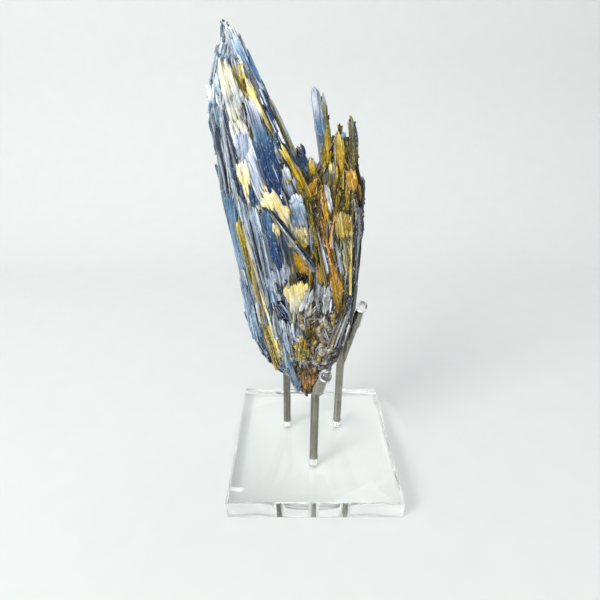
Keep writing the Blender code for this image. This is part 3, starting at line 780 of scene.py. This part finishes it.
def bundle(pile, root, tip, width, thick, turn, runs, chance, slant, flat=False, buried=False):
    """A crystal split into laths side by side, one run of colours after another."""
    root, tip = Vector(root), Vector(tip)
    length, along, across, back = axes(root, tip, turn)
    share = width / len(runs)
    split = 1 if flat else max(1, round(share / FINE_LATH))
    for i, run in enumerate(runs):
        for j in range(split):
            middle = ((i + (j + 0.5) / split) / len(runs) - 0.5) * width
            shorter = slant * (width / 2 + middle)
            if flat:
                shift = across * middle
                lath(pile, root + shift, tip + shift - along * shorter * 0.6, share * 1.12, thick,
                     turn + chance.uniform(-5, 5), run, runs[i - 1], chance, slant=slant, rings=14, flat=True,
                     fibre=0.3, buried=buried)
                continue
            second = runs[i - 1] if j else runs[(i + 1) % len(runs)]
            sink = chance.uniform(-0.18, 0.25) * thick
            shorter += abs(chance.gauss(0, 0.04)) * min(length, 40)
            shift = across * middle + back * sink
            # painted shade: a lath sunk deeper is darker, its shade dropping with the sink
            lath(pile, root + shift, tip + shift - along * shorter, share / split * chance.uniform(1.2, 1.9),
                 thick * chance.uniform(0.7, 1.0), turn + chance.uniform(-10, 10), run, second, chance,
                 slant=chance.uniform(0.0, 2.0), rings=int(clamp(length / 3.5, 8, 16)),
                 shade=chance.uniform(0.8, 1.15) - 1.3 * max(0.0, sink / thick),
                 fleck_and_glint=chance.uniform(0.0, 0.6), buried=buried)


def grain_line(outline):
    """Direction of a face's laths: its long axis where it has one, or else the way the crystals grow."""
    middle = Vector((sum(x for x, _ in outline), 0, sum(z for _, z in outline))) / len(outline)
    wide = sum((x - middle.x) ** 2 for x, _ in outline)
    tall = sum((z - middle.z) ** 2 for _, z in outline)
    both = sum((x - middle.x) * (z - middle.z) for x, z in outline)
    angle = 0.5 * math.atan2(2 * both, wide - tall)
    spread = math.hypot(wide - tall, 2 * both)
    if (wide + tall + spread) > 4 * (wide + tall - spread):
        run = Vector((math.cos(angle), math.sin(angle)))
        return run if run.y > 0 else -run
    return flow(middle).xz.normalized()


def broken_face(pile, plane, names, second, fibre, outline, chance):
    """A face cleaved into laths side by side, which end raggedly at the face's outline."""
    at, across, high = plane
    at += FACE_SINK
    run = grain_line(outline)
    side = Vector((run.y, -run.x))
    corners = [(side.dot(Vector(corner)), run.dot(Vector(corner))) for corner in outline]
    first, last = min(s for s, _ in corners), max(s for s, _ in corners)
    bottom, top = min(t for _, t in corners), max(t for _, t in corners)
    calm = max(0.0, 1.0 - 2.2 * fibre)
    ragged = 1.2 + 1.5 * fibre
    count = max(2, round((last - first) / FACE_LATH))
    width = (last - first) / count
    for k in range(count):
        s = first + (k + 0.5) * width + chance.uniform(-0.15, 0.15) * width
        edges = zip(corners, corners[1:] + corners[:1])
        cuts = [lerp(t0, t1, (s - s0) / (s1 - s0)) for (s0, t0), (s1, t1) in edges if (s0 - s) * (s1 - s) < 0]
        if len(cuts) < 2 or max(cuts) - min(cuts) < 0.8:
            continue
        low, up = min(cuts) - chance.uniform(0.2, ragged), max(cuts) + chance.uniform(0.2, ragged)
        parts = [(low, up)]
        if up - low > 9 and chance.random() < 0.25 + 0.5 * fibre:
            split = lerp(low, up, chance.uniform(0.3, 0.7))
            parts = [(low, split + chance.uniform(0.5, 2.5)), (split - chance.uniform(0.5, 2.5), up)]
        for t0, t1 in parts:
            depth = chance.uniform(-0.5, 0.4) * (0.12 + fibre)
            ends = []
            for x, z in (side * s + run * t0, side * s + run * t1):
                ends.append((x, at + across * x + high * z + depth + FACE_THICK / 2, z))
            lath(pile, *ends, width * chance.uniform(1.3, 1.8) * (1 + 0.3 * calm), FACE_THICK,
                 math.degrees(math.atan(across)) + chance.uniform(-14, 14) * (0.2 + fibre),
                 names, second, chance,
                 slant=chance.uniform(-0.6, 1.0), rings=int(clamp((t1 - t0) / 2.5, 8, 14)),
                 shade=1.0 + chance.uniform(-0.5, 0.25) * (0.15 + fibre), fleck_and_glint=0.25 + 0.3 * fibre,
                 fibre=0.2 + 0.8 * fibre, buried=True, calm=calm,
                 span=((top - t1) / (top - bottom), (top - t0) / (top - bottom)))


def core_row(core, height):
    """A core's left, right and depths at a height."""
    height = clamp(height, core[0][0], core[-1][0])
    for low, high in zip(core, core[1:]):
        if height <= high[0]:
            break
    t = (height - low[0]) / (high[0] - low[0])
    return [lerp(a, b, t) for a, b in zip(low, high)]


def sheaf_at(point):
    """The sheaf a point belongs to, and how far across it the point lies."""
    best = None
    for name, core in (("left", LEFT_CORE), ("right", RIGHT_CORE)):
        _, left, right, _, _ = core_row(core, point.z)
        across = (point.x - left) / (right - left)
        if best is None or abs(across - 0.5) < abs(best[1] - 0.5):
            best = (name, across)
    return best


def flow(point, step=12.0):
    """Direction in which the crystals grow at a point."""
    name, across = sheaf_at(point)
    core = LEFT_CORE if name == "left" else RIGHT_CORE
    across = clamp(across, -0.15, 1.15)
    low, high = core_row(core, point.z - step), core_row(core, point.z + step)
    if high[0] - low[0] < 1:
        return Vector((0, 0, 1))
    aside = lerp(high[1], high[2], across) - lerp(low[1], low[2], across)
    return Vector((aside, 0.0, high[0] - low[0])).normalized()


def in_foot(point):
    """The rough lower part on the front, where the crystals are matted together."""
    return point.z < 118 and point.y < 2 and abs(point.x + 2) < 21


FRONT_ZONES = rows(ZONES)


def coat_colour(point, chance, pick=None):
    """A colour of the zone or sheaf at a point: by chance, or the one that pick, from 0 to 1, falls on."""
    def choose(names):
        return chance.choice(names) if pick is None else names[min(len(names) - 1, int(pick * len(names)))]
    if point.y < FRONT_DEPTH:
        for (x, _, z, wide, high), names in FRONT_ZONES:
            if ((point.x - x) / wide) ** 2 + ((point.z - z) / high) ** 2 < chance.uniform(0.7, 1.15):
                return choose(names)
    name, across = sheaf_at(point)
    if point.z < 92 + 14 * noise.noise(point * 0.05):
        return choose(FOOT_COAT if name == "right" else LEFT_COAT)
    if name == "left":
        return choose(LEFT_EDGE_COAT if across < 0.12 else LEFT_COAT)
    return choose(RIGHT_COAT)


def long_blades(piles, skin, chance):
    """Broad blades along the sides and the back, each split into laths, under the loose ones."""
    made = 0
    while made < LONG_BLADES:
        point, normal = skin.pick(chance)
        if point is None or normal.y < -0.2 or abs(normal.z) > 0.7:
            continue
        made += 1
        run = flow(point)
        ends = []
        for sign in (-1, 1):
            reach, end = 0.0, point
            goal = chance.uniform(12, 34)
            while reach < goal:
                near, distance = skin.away(point + run * (sign * (reach + 3)))
                if distance > 1.3:
                    break
                reach, end = reach + 3, near
            ends.append(end)
        if (ends[1] - ends[0]).length < 12:
            continue
        runs = [coat_colour(point, chance) for _ in range(chance.choice((2, 3, 3, 4)))]
        sink = normal * -chance.uniform(0.2, 0.9)
        bundle(piles[sheaf_at(point)[0] + "_back"], ends[0] + sink, ends[1] + sink,
               chance.uniform(2.6, 5.2), LONG_BLADE_THICK, turn_of(run.cross(normal)),
               runs, chance, chance.uniform(-0.8, 0.8), buried=True)


def coat(piles, skin, chance):
    """Loose laths all over the skin, each laid along the flow and hugging the surface."""
    made = 0
    while made < COAT_COUNT:
        point, normal = skin.pick(chance)
        if point is None or abs(normal.z) > 0.8:
            continue
        rough = in_foot(point)
        made += 1
        run = flow(point)
        if rough:
            run = run + noise.noise_vector(point * 0.09) * 1.1
            run = (run - normal * run.dot(normal)).normalized()
        stray = 0.10 if rough else 0.03
        run = (run + Vector((chance.gauss(0, stray), chance.gauss(0, stray), 0))).normalized()
        plate = not rough and chance.random() < 0.16
        length = chance.uniform(5, 13) if rough else chance.uniform(12, 46)
        ends = []
        for sign in (-0.5, 0.5):
            reach = 1.0
            while reach > 0.2:
                half = run * (length * sign * reach)
                near, distance = skin.away(point + half)
                if distance < 0.9 and skin.away(point + half / 2)[1] < 0.7:
                    break
                reach -= 0.2
            ends.append(near if reach > 0.2 else point)
        if (ends[1] - ends[0]).length < 2.0:
            continue
        turn = turn_of(run.cross(normal)) + chance.uniform(-14, 14)
        thick = chance.uniform(0.8, 1.5)
        pick = clamp(0.5 + noise.noise(point * 0.13) + chance.gauss(0, 0.1)) if rough else None
        name, second = coat_colour(point, chance, pick), coat_colour(point, chance, pick)
        width = chance.uniform(1.6, 3.6) if plate else chance.uniform(0.7, 1.7)
        if rough:
            width, thick = chance.uniform(0.4, 1.1), chance.uniform(0.4, 0.8)
        sink = normal * (-thick * chance.uniform(0.1, 0.45))
        sheaf = sheaf_at(point)[0]
        pile = piles[sheaf + ("_front" if point.y < 1 else "_back")]
        lath(pile, ends[0] + sink, ends[1] + sink, width, thick, turn, name, second, chance,
             slant=chance.uniform(-1.2, 1.6), rings=7,
             shade=chance.uniform(*COAT_SHADES[sheaf]), fleck_and_glint=chance.uniform(0.0, 0.6), buried=True)


GOLDEN = (1 + math.sqrt(5)) / 2
ICOSAHEDRON = [Vector(corner) for one in (-1, 1) for two in (-GOLDEN, GOLDEN)
               for corner in ((0, one, two), (one, two, 0), (two, 0, one))]


def chip(pile, centre, radii, name, second, chance, shade=1.0):
    """A chip with flat facets: the hull of a few scattered points."""
    bm = bmesh.new()
    spin = chance.uniform(0, math.tau)
    spin = Matrix.Rotation(spin, 3, Vector((chance.gauss(0, 1), chance.gauss(0, 1), 1)).normalized())
    for corner in ICOSAHEDRON:
        place = spin @ (corner.normalized() * chance.uniform(0.65, 1.15))
        bm.verts.new(centre + Vector([a * b for a, b in zip(place, radii)]))
    bmesh.ops.convex_hull(bm, input=bm.verts)
    bmesh.ops.recalc_face_normals(bm, faces=bm.faces)
    bm.verts.index_update()
    first = len(pile.points)
    offset = grain_place(chance)
    keep = [vert for vert in bm.verts if vert.link_faces]
    index = {vert: first + i for i, vert in enumerate(keep)}
    for vert in keep:
        pile.points.append(vert.co.copy())
        value = shade * chance.uniform(0.8, 1.15)
        pile.tints.append(tints_of(COLOURS[name], COLOURS[second], value, 0.3, 0.4))
        pile.grains.append(Vector((vert.co.x, vert.co.y, vert.co.z * 12)) + offset)
    for face in bm.faces:
        pile.faces.append(tuple(index[vert] for vert in face.verts))
    bm.free()


def rubble(pile, skin, chance):
    """Chips in the valley between the sheaves, on the foot and in the matrix."""
    made = 0
    while made < CHIPS:
        point, normal = skin.pick(chance)
        if point is None:
            continue
        valley = (-16 < point.x < 14 and 168 < point.z < 192 and normal.z > -0.2)
        foot = point.z < 128 and -24 < point.x < 18 and point.y < 4
        low = point.z < 84 and chance.random() < 0.5
        channel = 3 < point.x < 16 and 110 < point.z < 172 and point.y < 0
        if not (valley or low or channel or (foot and chance.random() < 0.03)):
            continue
        made += 1
        size = chance.uniform(0.3, 1.0) if valley or channel else chance.uniform(0.3, 1.1)
        radii = [size * chance.uniform(*span) for span in ((0.6, 1.2), (0.6, 1.0), (0.8, 2.2))]
        chip(pile, point - normal * size * chance.uniform(0.1, 0.7), radii, coat_colour(point, chance),
             coat_colour(point, chance), chance, shade=chance.uniform(0.6, 1.1))


def build_core(cad, material):
    """The rough middle of the specimen, grown together, with a fibrous skin whose colour carries painted
    shade.
    """
    mesh = cad.data.copy()
    mesh.transform(cad.matrix_world)
    core = linked("core_shape", mesh)
    remesh = core.modifiers.new("grown_together", 'REMESH')
    remesh.mode = 'VOXEL'
    remesh.voxel_size = CORE_VOXEL * MM
    remesh.adaptivity = 0.0
    made = baked("matrix_core", core)
    chance = random.Random(SEED + 5)
    tints, grains = [], []
    normals = [vert.normal.copy() for vert in made.vertices]
    for vert, normal in zip(made.vertices, normals):
        point = vert.co / MM
        run = flow(point)
        along = point.dot(run)
        across = point - run * along
        warp = noise.noise_vector(point * 0.12) * 2.5
        fibre_place = Vector((across.x * 0.5, across.y * 0.5, along * 0.10)) + warp * 0.35
        fibre = noise.fractal(fibre_place, 0.9, 2.0, 2)
        lump = noise.fractal(point * 0.22, 0.7, 2.0, 4)
        foot = in_foot(point)
        swell = 0.9 * fibre + 0.9 * lump - 0.3 if foot else 0.45 * fibre + 0.4 * lump - 1.1
        vert.co += normal * MM * swell
        pick = clamp(0.5 + 0.8 * noise.fractal(point * 0.3 + warp, 0.8, 2.0, 3))
        second = clamp(0.5 + 0.8 * noise.fractal(point * 0.5 - warp, 0.8, 2.0, 3))
        name, other = coat_colour(point, chance, pick), coat_colour(point, chance, second)
        # painted shade: away from the foot the core is nearly black for the shade between laths; the foot
        # follows its fibres and lumps and is darker where its skin sinks
        value = clamp(0.62 + 1.9 * fibre + 0.4 * lump, 0.06, 1.2) if foot else 0.18 + 0.25 * fibre
        tints.append(tints_of(COLOURS[name], COLOURS[other], value, 0.3, 0.6))
        grains.append(Vector((across.x, across.y, along)))
    paint(made, tints, grains)
    made.materials.clear()
    made.materials.append(material)
    made.shade_smooth()
    return place_piece("matrix_core", made, ("kyanite_cluster",))


# Materials

class Nodes:
    """Adds nodes to a tree in short calls."""

    def __init__(self, tree):
        self.tree = tree

    def fill(self, node, inputs):
        for key, value in inputs.items():
            if isinstance(value, bpy.types.NodeSocket):
                self.tree.links.new(value, node.inputs[key])
            else:
                node.inputs[key].default_value = value

    def add(self, kind, inputs, **settings):
        made = self.tree.nodes.new("ShaderNode" + kind)
        for key, value in settings.items():
            setattr(made, key, value)
        self.fill(made, inputs)
        return made.outputs

    def object_place(self):
        return self.add('TexCoord', {})["Object"]

    def noise(self, place, scale, detail, roughness=0.5):
        inputs = {"Vector": place, "Scale": scale, "Detail": detail, "Roughness": roughness}
        return self.add('TexNoise', inputs)["Fac"]

    def vector(self, operation, one, two):
        return self.add('VectorMath', {0: one, 1: two}, operation=operation)[0]

    def maths(self, operation, *values):
        return self.add('Math', dict(enumerate(values)), operation=operation)[0]

    def ranged(self, value, low, high, to_low, to_high):
        return self.add('MapRange', {"Value": value, "From Min": low, "From Max": high,
                                     "To Min": to_low, "To Max": to_high})["Result"]

    def mixed(self, factor, one, two, blend='MIX'):
        return self.add('Mix', {0: factor, 6: one, 7: two}, data_type='RGBA', blend_type=blend)[2]

    def bump(self, strength, distance, height):
        return self.add('Bump', {"Strength": strength, "Distance": distance * MM, "Height": height})["Normal"]

    def surface(self, inputs):
        self.fill(self.tree.nodes["Principled BSDF"], inputs)


def new_material(name):
    material = bpy.data.materials.new(name)
    material.use_nodes = True
    return material, Nodes(material.node_tree)


def mineral(name, roughness, bump_depth, stretch):
    """Lengthwise striation, dark cleavage lines and pale flecking, partly painted glints, over the colours
    and painted shade that the laths carry.
    """
    material, nodes = new_material(name)
    tint = nodes.add('Attribute', {}, attribute_name="tint")
    other = nodes.add('Attribute', {}, attribute_name="tint_two")
    grain = nodes.add('Attribute', {}, attribute_name="grain")["Vector"]
    fibrous = other["Alpha"]
    fibre = nodes.vector('MULTIPLY', grain, (1.0, 1.0, stretch))
    streak = nodes.noise(fibre, 1.1, 4.0, 0.6)
    line = nodes.noise(fibre, 2.2, 3.0, 0.55)
    seam = nodes.noise(nodes.vector('ADD', fibre, (7.3, -4.1, 2.2)), 0.9, 3.0, 0.55)
    fleck_and_glint = nodes.noise(nodes.vector('MULTIPLY', grain, (1.0, 1.0, 0.4)), 1.6, 3.0, 0.6)
    cloud = nodes.noise(grain, 0.22, 3.0)
    both = nodes.mixed(nodes.ranged(seam, 0.52, 0.62, 0.0, 0.8), tint["Color"], other["Color"])
    strong = nodes.add('Mix', {0: fibrous, 2: 1.0, 3: nodes.ranged(streak, 0.34, 0.66, 0.55, 1.40)})[0]
    value = nodes.maths('MULTIPLY', strong, nodes.ranged(cloud, 0.3, 0.7, 0.82, 1.15))
    level = nodes.add('CombineColor', {0: value, 1: value, 2: value})[0]
    colour = nodes.mixed(1.0, both, level, 'MULTIPLY')
    crack = nodes.maths('MULTIPLY', nodes.ranged(line, 0.37, 0.43, 0.9, 0.0), fibrous)
    colour = nodes.mixed(crack, colour, (0.010, 0.011, 0.014, 1))
    # pale flecking: partly the mineral's white flecking, partly painted glints
    flecks_and_glints = nodes.maths('MULTIPLY', nodes.ranged(fleck_and_glint, 0.58, 0.64, 0.0, 1.0), tint["Alpha"])
    colour = nodes.mixed(flecks_and_glints, colour, nodes.mixed(0.72, both, (0.90, 0.90, 0.88, 1)))
    nodes.surface({
        "Base Color": colour,
        "Roughness": nodes.ranged(fleck_and_glint, 0.3, 0.7, roughness - 0.12, roughness + 0.14),
        "Normal": nodes.bump(0.6, bump_depth, nodes.maths('ADD', streak, line)),
        "Specular IOR Level": 0.3,
    })
    return material


def steel_material():
    """Drawn steel: satin, with fine lines round the rod and a few dull patches."""
    material, nodes = new_material("drawn_steel")
    place = nodes.object_place()
    scratch = nodes.noise(nodes.vector('MULTIPLY', place, (3000.0, 3000.0, 90.0)), 1.0, 4.0)
    band = nodes.noise(nodes.vector('MULTIPLY', place, (700.0, 700.0, 9.0)), 1.0, 2.0)
    dull = nodes.ranged(nodes.noise(place, 180.0, 3.0), 0.35, 0.65, 0.0, 1.0)
    metal = nodes.mixed(dull, (0.27, 0.255, 0.215, 1), (0.38, 0.36, 0.31, 1))
    metal = nodes.mixed(nodes.ranged(band, 0.42, 0.60, 0.75, 0.0), metal, (0.13, 0.12, 0.10, 1))
    nodes.surface({
        "Base Color": metal,
        "Roughness": nodes.ranged(scratch, 0.3, 0.7, 0.24, 0.40),
        "Normal": nodes.bump(0.25, 0.03, scratch),
        "Metallic": 1.0,
    })
    return material


def clear_material(name, colour, ior, rough_low, rough_high, scale):
    """See-through plastic with faint handling marks that only dull its polish."""
    material, nodes = new_material(name)
    marks = nodes.noise(nodes.object_place(), scale, 5.0)
    nodes.surface({
        "Base Color": (*colour, 1),
        "Roughness": nodes.ranged(marks, 0.45, 0.75, rough_low, rough_high),
        "Transmission Weight": 1.0,
        "IOR": ior,
    })
    return material


def paper_material():
    """Pale paper, with painted light under the slab where the clear slab would darken the floor."""
    material, nodes = new_material("paper_sweep")
    place = nodes.object_place()
    grain = nodes.noise(place, 55.0, 6.0)
    paper = nodes.mixed(grain, (0.690, 0.706, 0.697, 1), (0.727, 0.741, 0.732, 1))
    apart = nodes.add('SeparateXYZ', {0: place})
    reach = nodes.maths('MAXIMUM', nodes.maths('ABSOLUTE', apart["X"]), nodes.maths('ABSOLUTE', apart["Y"]))
    # painted light: the paper is brightened in the slab's footprint to lift its shadow
    under = nodes.ranged(reach, 0.046, 0.052, 0.30, 0.0)
    nodes.surface({
        "Base Color": nodes.mixed(under, paper, (0.93, 0.93, 0.91, 1)),
        "Normal": nodes.bump(0.15, 0.6, grain),
        "Roughness": 0.8,
    })
    return material


# Stand

EAST, NORTH, SKY = (Vector(axis) for axis in ((1, 0, 0), (0, 1, 0), (0, 0, 1)))


def circle(centre, across, other, radius, sides):
    """Points round a centre, in the plane of two unit vectors."""
    angles = [math.tau * i / sides for i in range(sides)]
    return [centre + (across * math.cos(angle) + other * math.sin(angle)) * radius for angle in angles]


def loft(bm, rings):
    """Skin a closed solid over rings of points."""
    loops = [[bm.verts.new(point * MM) for point in ring] for ring in rings]
    for low, high in zip(loops, loops[1:]):
        for i in range(len(low)):
            j = (i + 1) % len(low)
            bm.faces.new((low[i], low[j], high[j], high[i]))
    bm.faces.new(loops[0][::-1])
    bm.faces.new(loops[-1])
    bmesh.ops.recalc_face_normals(bm, faces=bm.faces)


def to_mesh(bm, name, material):
    mesh = bpy.data.meshes.new(name)
    bm.to_mesh(mesh)
    bm.free()
    mesh.materials.append(material)
    return mesh


def baked(name, item, *helpers):
    """The mesh of an object with its modifiers, once the object and its helpers are gone."""
    mesh = bpy.data.meshes.new_from_object(item.evaluated_get(bpy.context.evaluated_depsgraph_get()))
    mesh.name = name
    for gone in (item, *helpers):
        bpy.data.objects.remove(gone, do_unlink=True)
    return mesh


def soften(mesh, angle):
    """Smooth shading, with edges sharper than angle degrees kept."""
    mesh.shade_smooth()
    mesh.set_sharp_from_angle(angle=math.radians(angle))
    return mesh


def build_slab(polished, drilled):
    """The acrylic slab: softly bevelled polished edges and three blind holes with cone ends."""
    bm = bmesh.new()
    bmesh.ops.create_cube(bm, size=1.0)
    bmesh.ops.scale(bm, vec=(SLAB_SIDE * MM, SLAB_SIDE * MM, SLAB_THICK * MM), verts=bm.verts)
    bmesh.ops.translate(bm, vec=(0, 0, SLAB_THICK / 2 * MM), verts=bm.verts)
    bmesh.ops.bevel(bm, geom=bm.edges[:], offset=SLAB_BEVEL * MM, segments=3, profile=0.5, affect='EDGES')
    slab = linked("slab_shape", to_mesh(bm, "slab", polished))
    radius = HOLE_DIAMETER / 2
    profile = ((0.02, HOLE_FLOOR), (radius, HOLE_FLOOR + 1.2), (radius, SLAB_THICK - 0.4),
               (radius + HOLE_LIP, SLAB_THICK + 0.05), (radius + HOLE_LIP, SLAB_THICK + 4))
    bm = bmesh.new()
    for foot, *_ in RODS.values():
        loft(bm, [circle(Vector((*foot, z)), EAST, NORTH, r, 48) for r, z in profile])
    drills = linked("drills", to_mesh(bm, "drills", drilled))
    cut = slab.modifiers.new("holes", 'BOOLEAN')
    cut.operation = 'DIFFERENCE'
    cut.solver = 'EXACT'
    cut.material_mode = 'TRANSFER'
    cut.object = drills
    mesh = soften(baked("clear_slab", slab, drills), 25)
    return place_piece("clear_slab", mesh, ("acrylic_base",))


def rod_path(foot, bend_height, arm, arm_length):
    """Points of the rod's middle line, close together where it is threaded or bends."""
    arm = Vector(arm).normalized()
    corner = Vector((*foot, bend_height))
    turn = SKY.angle(arm)
    side = (arm - SKY * arm.dot(SKY)).normalized()
    centre = corner - SKY * (BEND_RADIUS * math.tan(turn / 2)) + side * BEND_RADIUS
    points = [Vector((*foot, HOLE_FLOOR + GAP + 0.1 * i)) for i in range(THREAD_RINGS)]
    points += [Vector((*foot, SLAB_THICK + rise)) for rise in (2, 12, 24, 36)]
    for i in range(BEND_STEPS + 1):
        angle = turn * i / BEND_STEPS
        points.append(centre - side * BEND_RADIUS * math.cos(angle) + SKY * BEND_RADIUS * math.sin(angle))
    bend_end, end = points[-1], corner + arm * arm_length
    points += [bend_end.lerp(end, i / 4) for i in range(1, 5)]
    return points, arm


def build_rod(name, points, material):
    """A drawn rod with a chamfered end, threaded where it stands in the slab."""
    sides, radius = 32, ROD_DIAMETER / 2
    across = EAST
    rings = []
    for k, point in enumerate(points):
        ahead = (points[min(k + 1, len(points) - 1)] - points[max(k - 1, 0)]).normalized()
        across = (across - ahead * across.dot(ahead)).normalized()
        other = ahead.cross(across)
        ring = []
        for i in range(sides):
            angle = math.tau * i / sides
            r = radius - 0.02
            if point.z < SLAB_THICK - 0.6 and k < THREAD_RINGS:
                wave = (point.z / THREAD_PITCH + i / sides) % 1.0
                r -= THREAD_DEPTH * (1 - abs(2 * wave - 1))
            if k == 0:
                r -= ROD_CHAMFER
            ring.append(point + (across * math.cos(angle) + other * math.sin(angle)) * r)
        rings.append(ring)
    ahead = (points[-1] - points[-2]).normalized()
    rings[-1] = [point - ahead * ROD_CHAMFER for point in rings[-1]]
    rings.append(circle(points[-1] - ahead * 0.01, across, ahead.cross(across), radius - ROD_CHAMFER, sides))
    bm = bmesh.new()
    loft(bm, rings)
    return place_piece("drawn_" + name, soften(to_mesh(bm, name, material), 35), (name,))


def build_cap(name, rod_end, arm, material):
    """A dipped clear cap: a snug bore, a full domed end and a soft rolled lip."""
    outer, bore, bore_end = CAP_DIAMETER / 2, ROD_DIAMETER / 2 + 0.03, CAP_LENGTH - CAP_DOME
    across = arm.orthogonal().normalized()
    origin = rod_end + arm * (GAP - bore_end)
    top = CAP_LENGTH - outer
    dome = [math.radians(angle) for angle in range(86, -1, -7)]
    profile = [(outer * math.cos(angle), top + outer * math.sin(angle)) for angle in dome]
    profile += [(outer, top * 0.5), (outer, 0.5), (outer - 0.12, 0.14), (outer - 0.4, 0.0)]
    profile += [(bore + 0.15, 0.05), (bore, 0.3), (bore, bore_end - 0.25), (bore - 0.3, bore_end)]
    bm = bmesh.new()
    loft(bm, [circle(origin + arm * height, across, arm.cross(across), r, 48) for r, height in profile])
    return place_piece("clear_" + name, soften(to_mesh(bm, name, material), 40), (name,))


# Room

def build_stage():
    """A pale floor that sweeps up into a wall. Its places are in metres."""
    half, near, far, bend, high, steps = 1.6, -0.9, 0.30, 0.28, 1.3, 16
    line = [(near, 0.0), (far, 0.0)]
    for i in range(1, steps + 1):
        angle = math.pi / 2 * i / steps
        line.append((far + bend * math.sin(angle), bend - bend * math.cos(angle)))
    line.append((far + bend, high))
    bm = bmesh.new()
    edges = [[bm.verts.new((x, y, z - 0.0002)) for x in (-half, half)] for y, z in line]
    for low, up in zip(edges, edges[1:]):
        bm.faces.new((low[0], low[1], up[1], up[0]))
    mesh = to_mesh(bm, "sweep", paper_material())
    mesh.shade_smooth()
    sweep = linked("sweep", mesh)


def soft_light(name, place, target, size, power, colour=(1.0, 1.0, 1.0)):
    light = bpy.data.lights.new(name, 'AREA')
    light.shape = 'RECTANGLE'
    light.size = light.size_y = size
    light.energy = power
    light.color = colour
    item = linked(name, light)
    item.location = place
    item.rotation_euler = (Vector(target) - Vector(place)).to_track_quat('-Z', 'Y').to_euler()


def build_lights():
    world = bpy.data.worlds.new("soft_room")
    world.use_nodes = True
    nodes = Nodes(world.node_tree)
    towards = nodes.add('TexCoord', {})["Generated"]
    bright_side = Vector((-0.55, -0.42, 0.72)).normalized()
    bright = nodes.add('VectorMath', {0: towards, 1: bright_side}, operation='DOT_PRODUCT')["Value"]
    nodes.fill(world.node_tree.nodes["Background"],
               {"Color": (0.95, 0.98, 1.0, 1), "Strength": nodes.ranged(bright, -0.4, 1.0, 0.34, 0.98)})
    bpy.context.scene.world = world
    soft_light("key", (-0.85, -0.72, 0.85), (0, 0, 0.12), 0.55, 9.3, (1.0, 0.985, 0.955))
    soft_light("front", (0.05, -1.0, 0.62), (0, 0, 0.1), 0.35, 2.4)
    soft_light("back", (0.35, 0.25, 1.1), (0, 0, 0.15), 0.5, 1.0)


def build_camera():
    """The photograph's view: 26 degrees down, close to the object."""
    camera = bpy.data.cameras.new("photo_view")
    camera.lens, camera.sensor_width, camera.clip_start = FOCAL * SENSOR / PHOTO_SIDE, SENSOR, 0.01
    place = Matrix((Vector(RIGHT), Vector(UP), Vector(-FORWARD))).transposed().to_4x4()
    place.translation = EYE * MM
    item = linked("photo_view", camera)
    item.matrix_world = place
    bpy.context.scene.camera = item


def build_specimen(cad):
    noise.seed_set(SEED)            # noise_vector would start from the clock
    chance = random.Random(SEED)
    skin = Skin(cad)
    blade_skin = mineral("kyanite", 0.40, 0.22, 0.045)
    rough_skin = mineral("matrix", 0.62, 0.35, 0.30)
    build_core(cad, rough_skin)
    left, right = Pile("left_sheaf"), Pile("right_sheaf")
    front, chips = Pile("front_laths"), Pile("matrix_chips")
    for pile, blades, breaks in ((left, LEFT_BLADES, (0.4, 1.3)), (right, RIGHT_BLADES, (0.2, 0.7))):
        for numbers, (name, *runs) in rows(blades):
            bundle(pile, numbers[:3], numbers[3:6], *numbers[6:], runs, chance, chance.uniform(*breaks),
                   flat=name == WIDE_BLADE)
    parts = "left_front", "left_back", "right_front", "right_back"
    coats = {part: Pile(part + "_laths") for part in parts}
    long_blades(coats, skin, chance)
    coat(coats, skin, chance)
    sink = Vector((0, FRONT_LATH_SINK, 0))
    for numbers, (_, *runs) in rows(FRONT_LATHS):
        root, tip, width = front_lath(skin, numbers[:2], numbers[2:4], *numbers[4:])
        bundle(front, Vector(root) + sink, Vector(tip) + sink, width, FRONT_LATH_THICK,
               chance.uniform(-12, 12), runs, chance, chance.uniform(0.1, 0.7), buried=True)
    for names, second, fibre, lift, outline in traced_faces():
        plane, outline = face_place(skin, outline, lift)
        broken_face(front, plane, names, second, fibre, outline, chance)
    rubble(chips, skin, chance)
    for pile in (left, right, front, *coats.values()):
        pile.make(blade_skin)
    chips.make(rough_skin)


def main():
    steel = steel_material()
    polished = clear_material("clear_acrylic", (0.985, 0.995, 0.99), 1.49, 0.0, 0.05, 60.0)
    drilled = clear_material("drilled_acrylic", (0.97, 0.98, 0.98), 1.49, 0.22, 0.38, 900.0)
    vinyl = clear_material("clear_vinyl", (0.97, 0.975, 0.965), 1.5, 0.02, 0.10, 300.0)
    build_slab(polished, drilled)
    for side, values in RODS.items():
        points, arm = rod_path(*values)
        build_rod(side + "_rod", points, steel)
        build_cap(side + "_cap", points[-1], arm, vinyl)
    build_specimen(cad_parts["kyanite_cluster"])
    build_stage()
    build_lights()
    build_camera()
    bpy.context.scene.view_settings.view_transform = 'Standard'
    cycles = bpy.context.scene.cycles
    cycles.blur_glossy = 0.0        # keeps the light that the clear slab lets through
    cycles.max_bounces, cycles.glossy_bounces, cycles.transmission_bounces = 20, 16, 20


main()
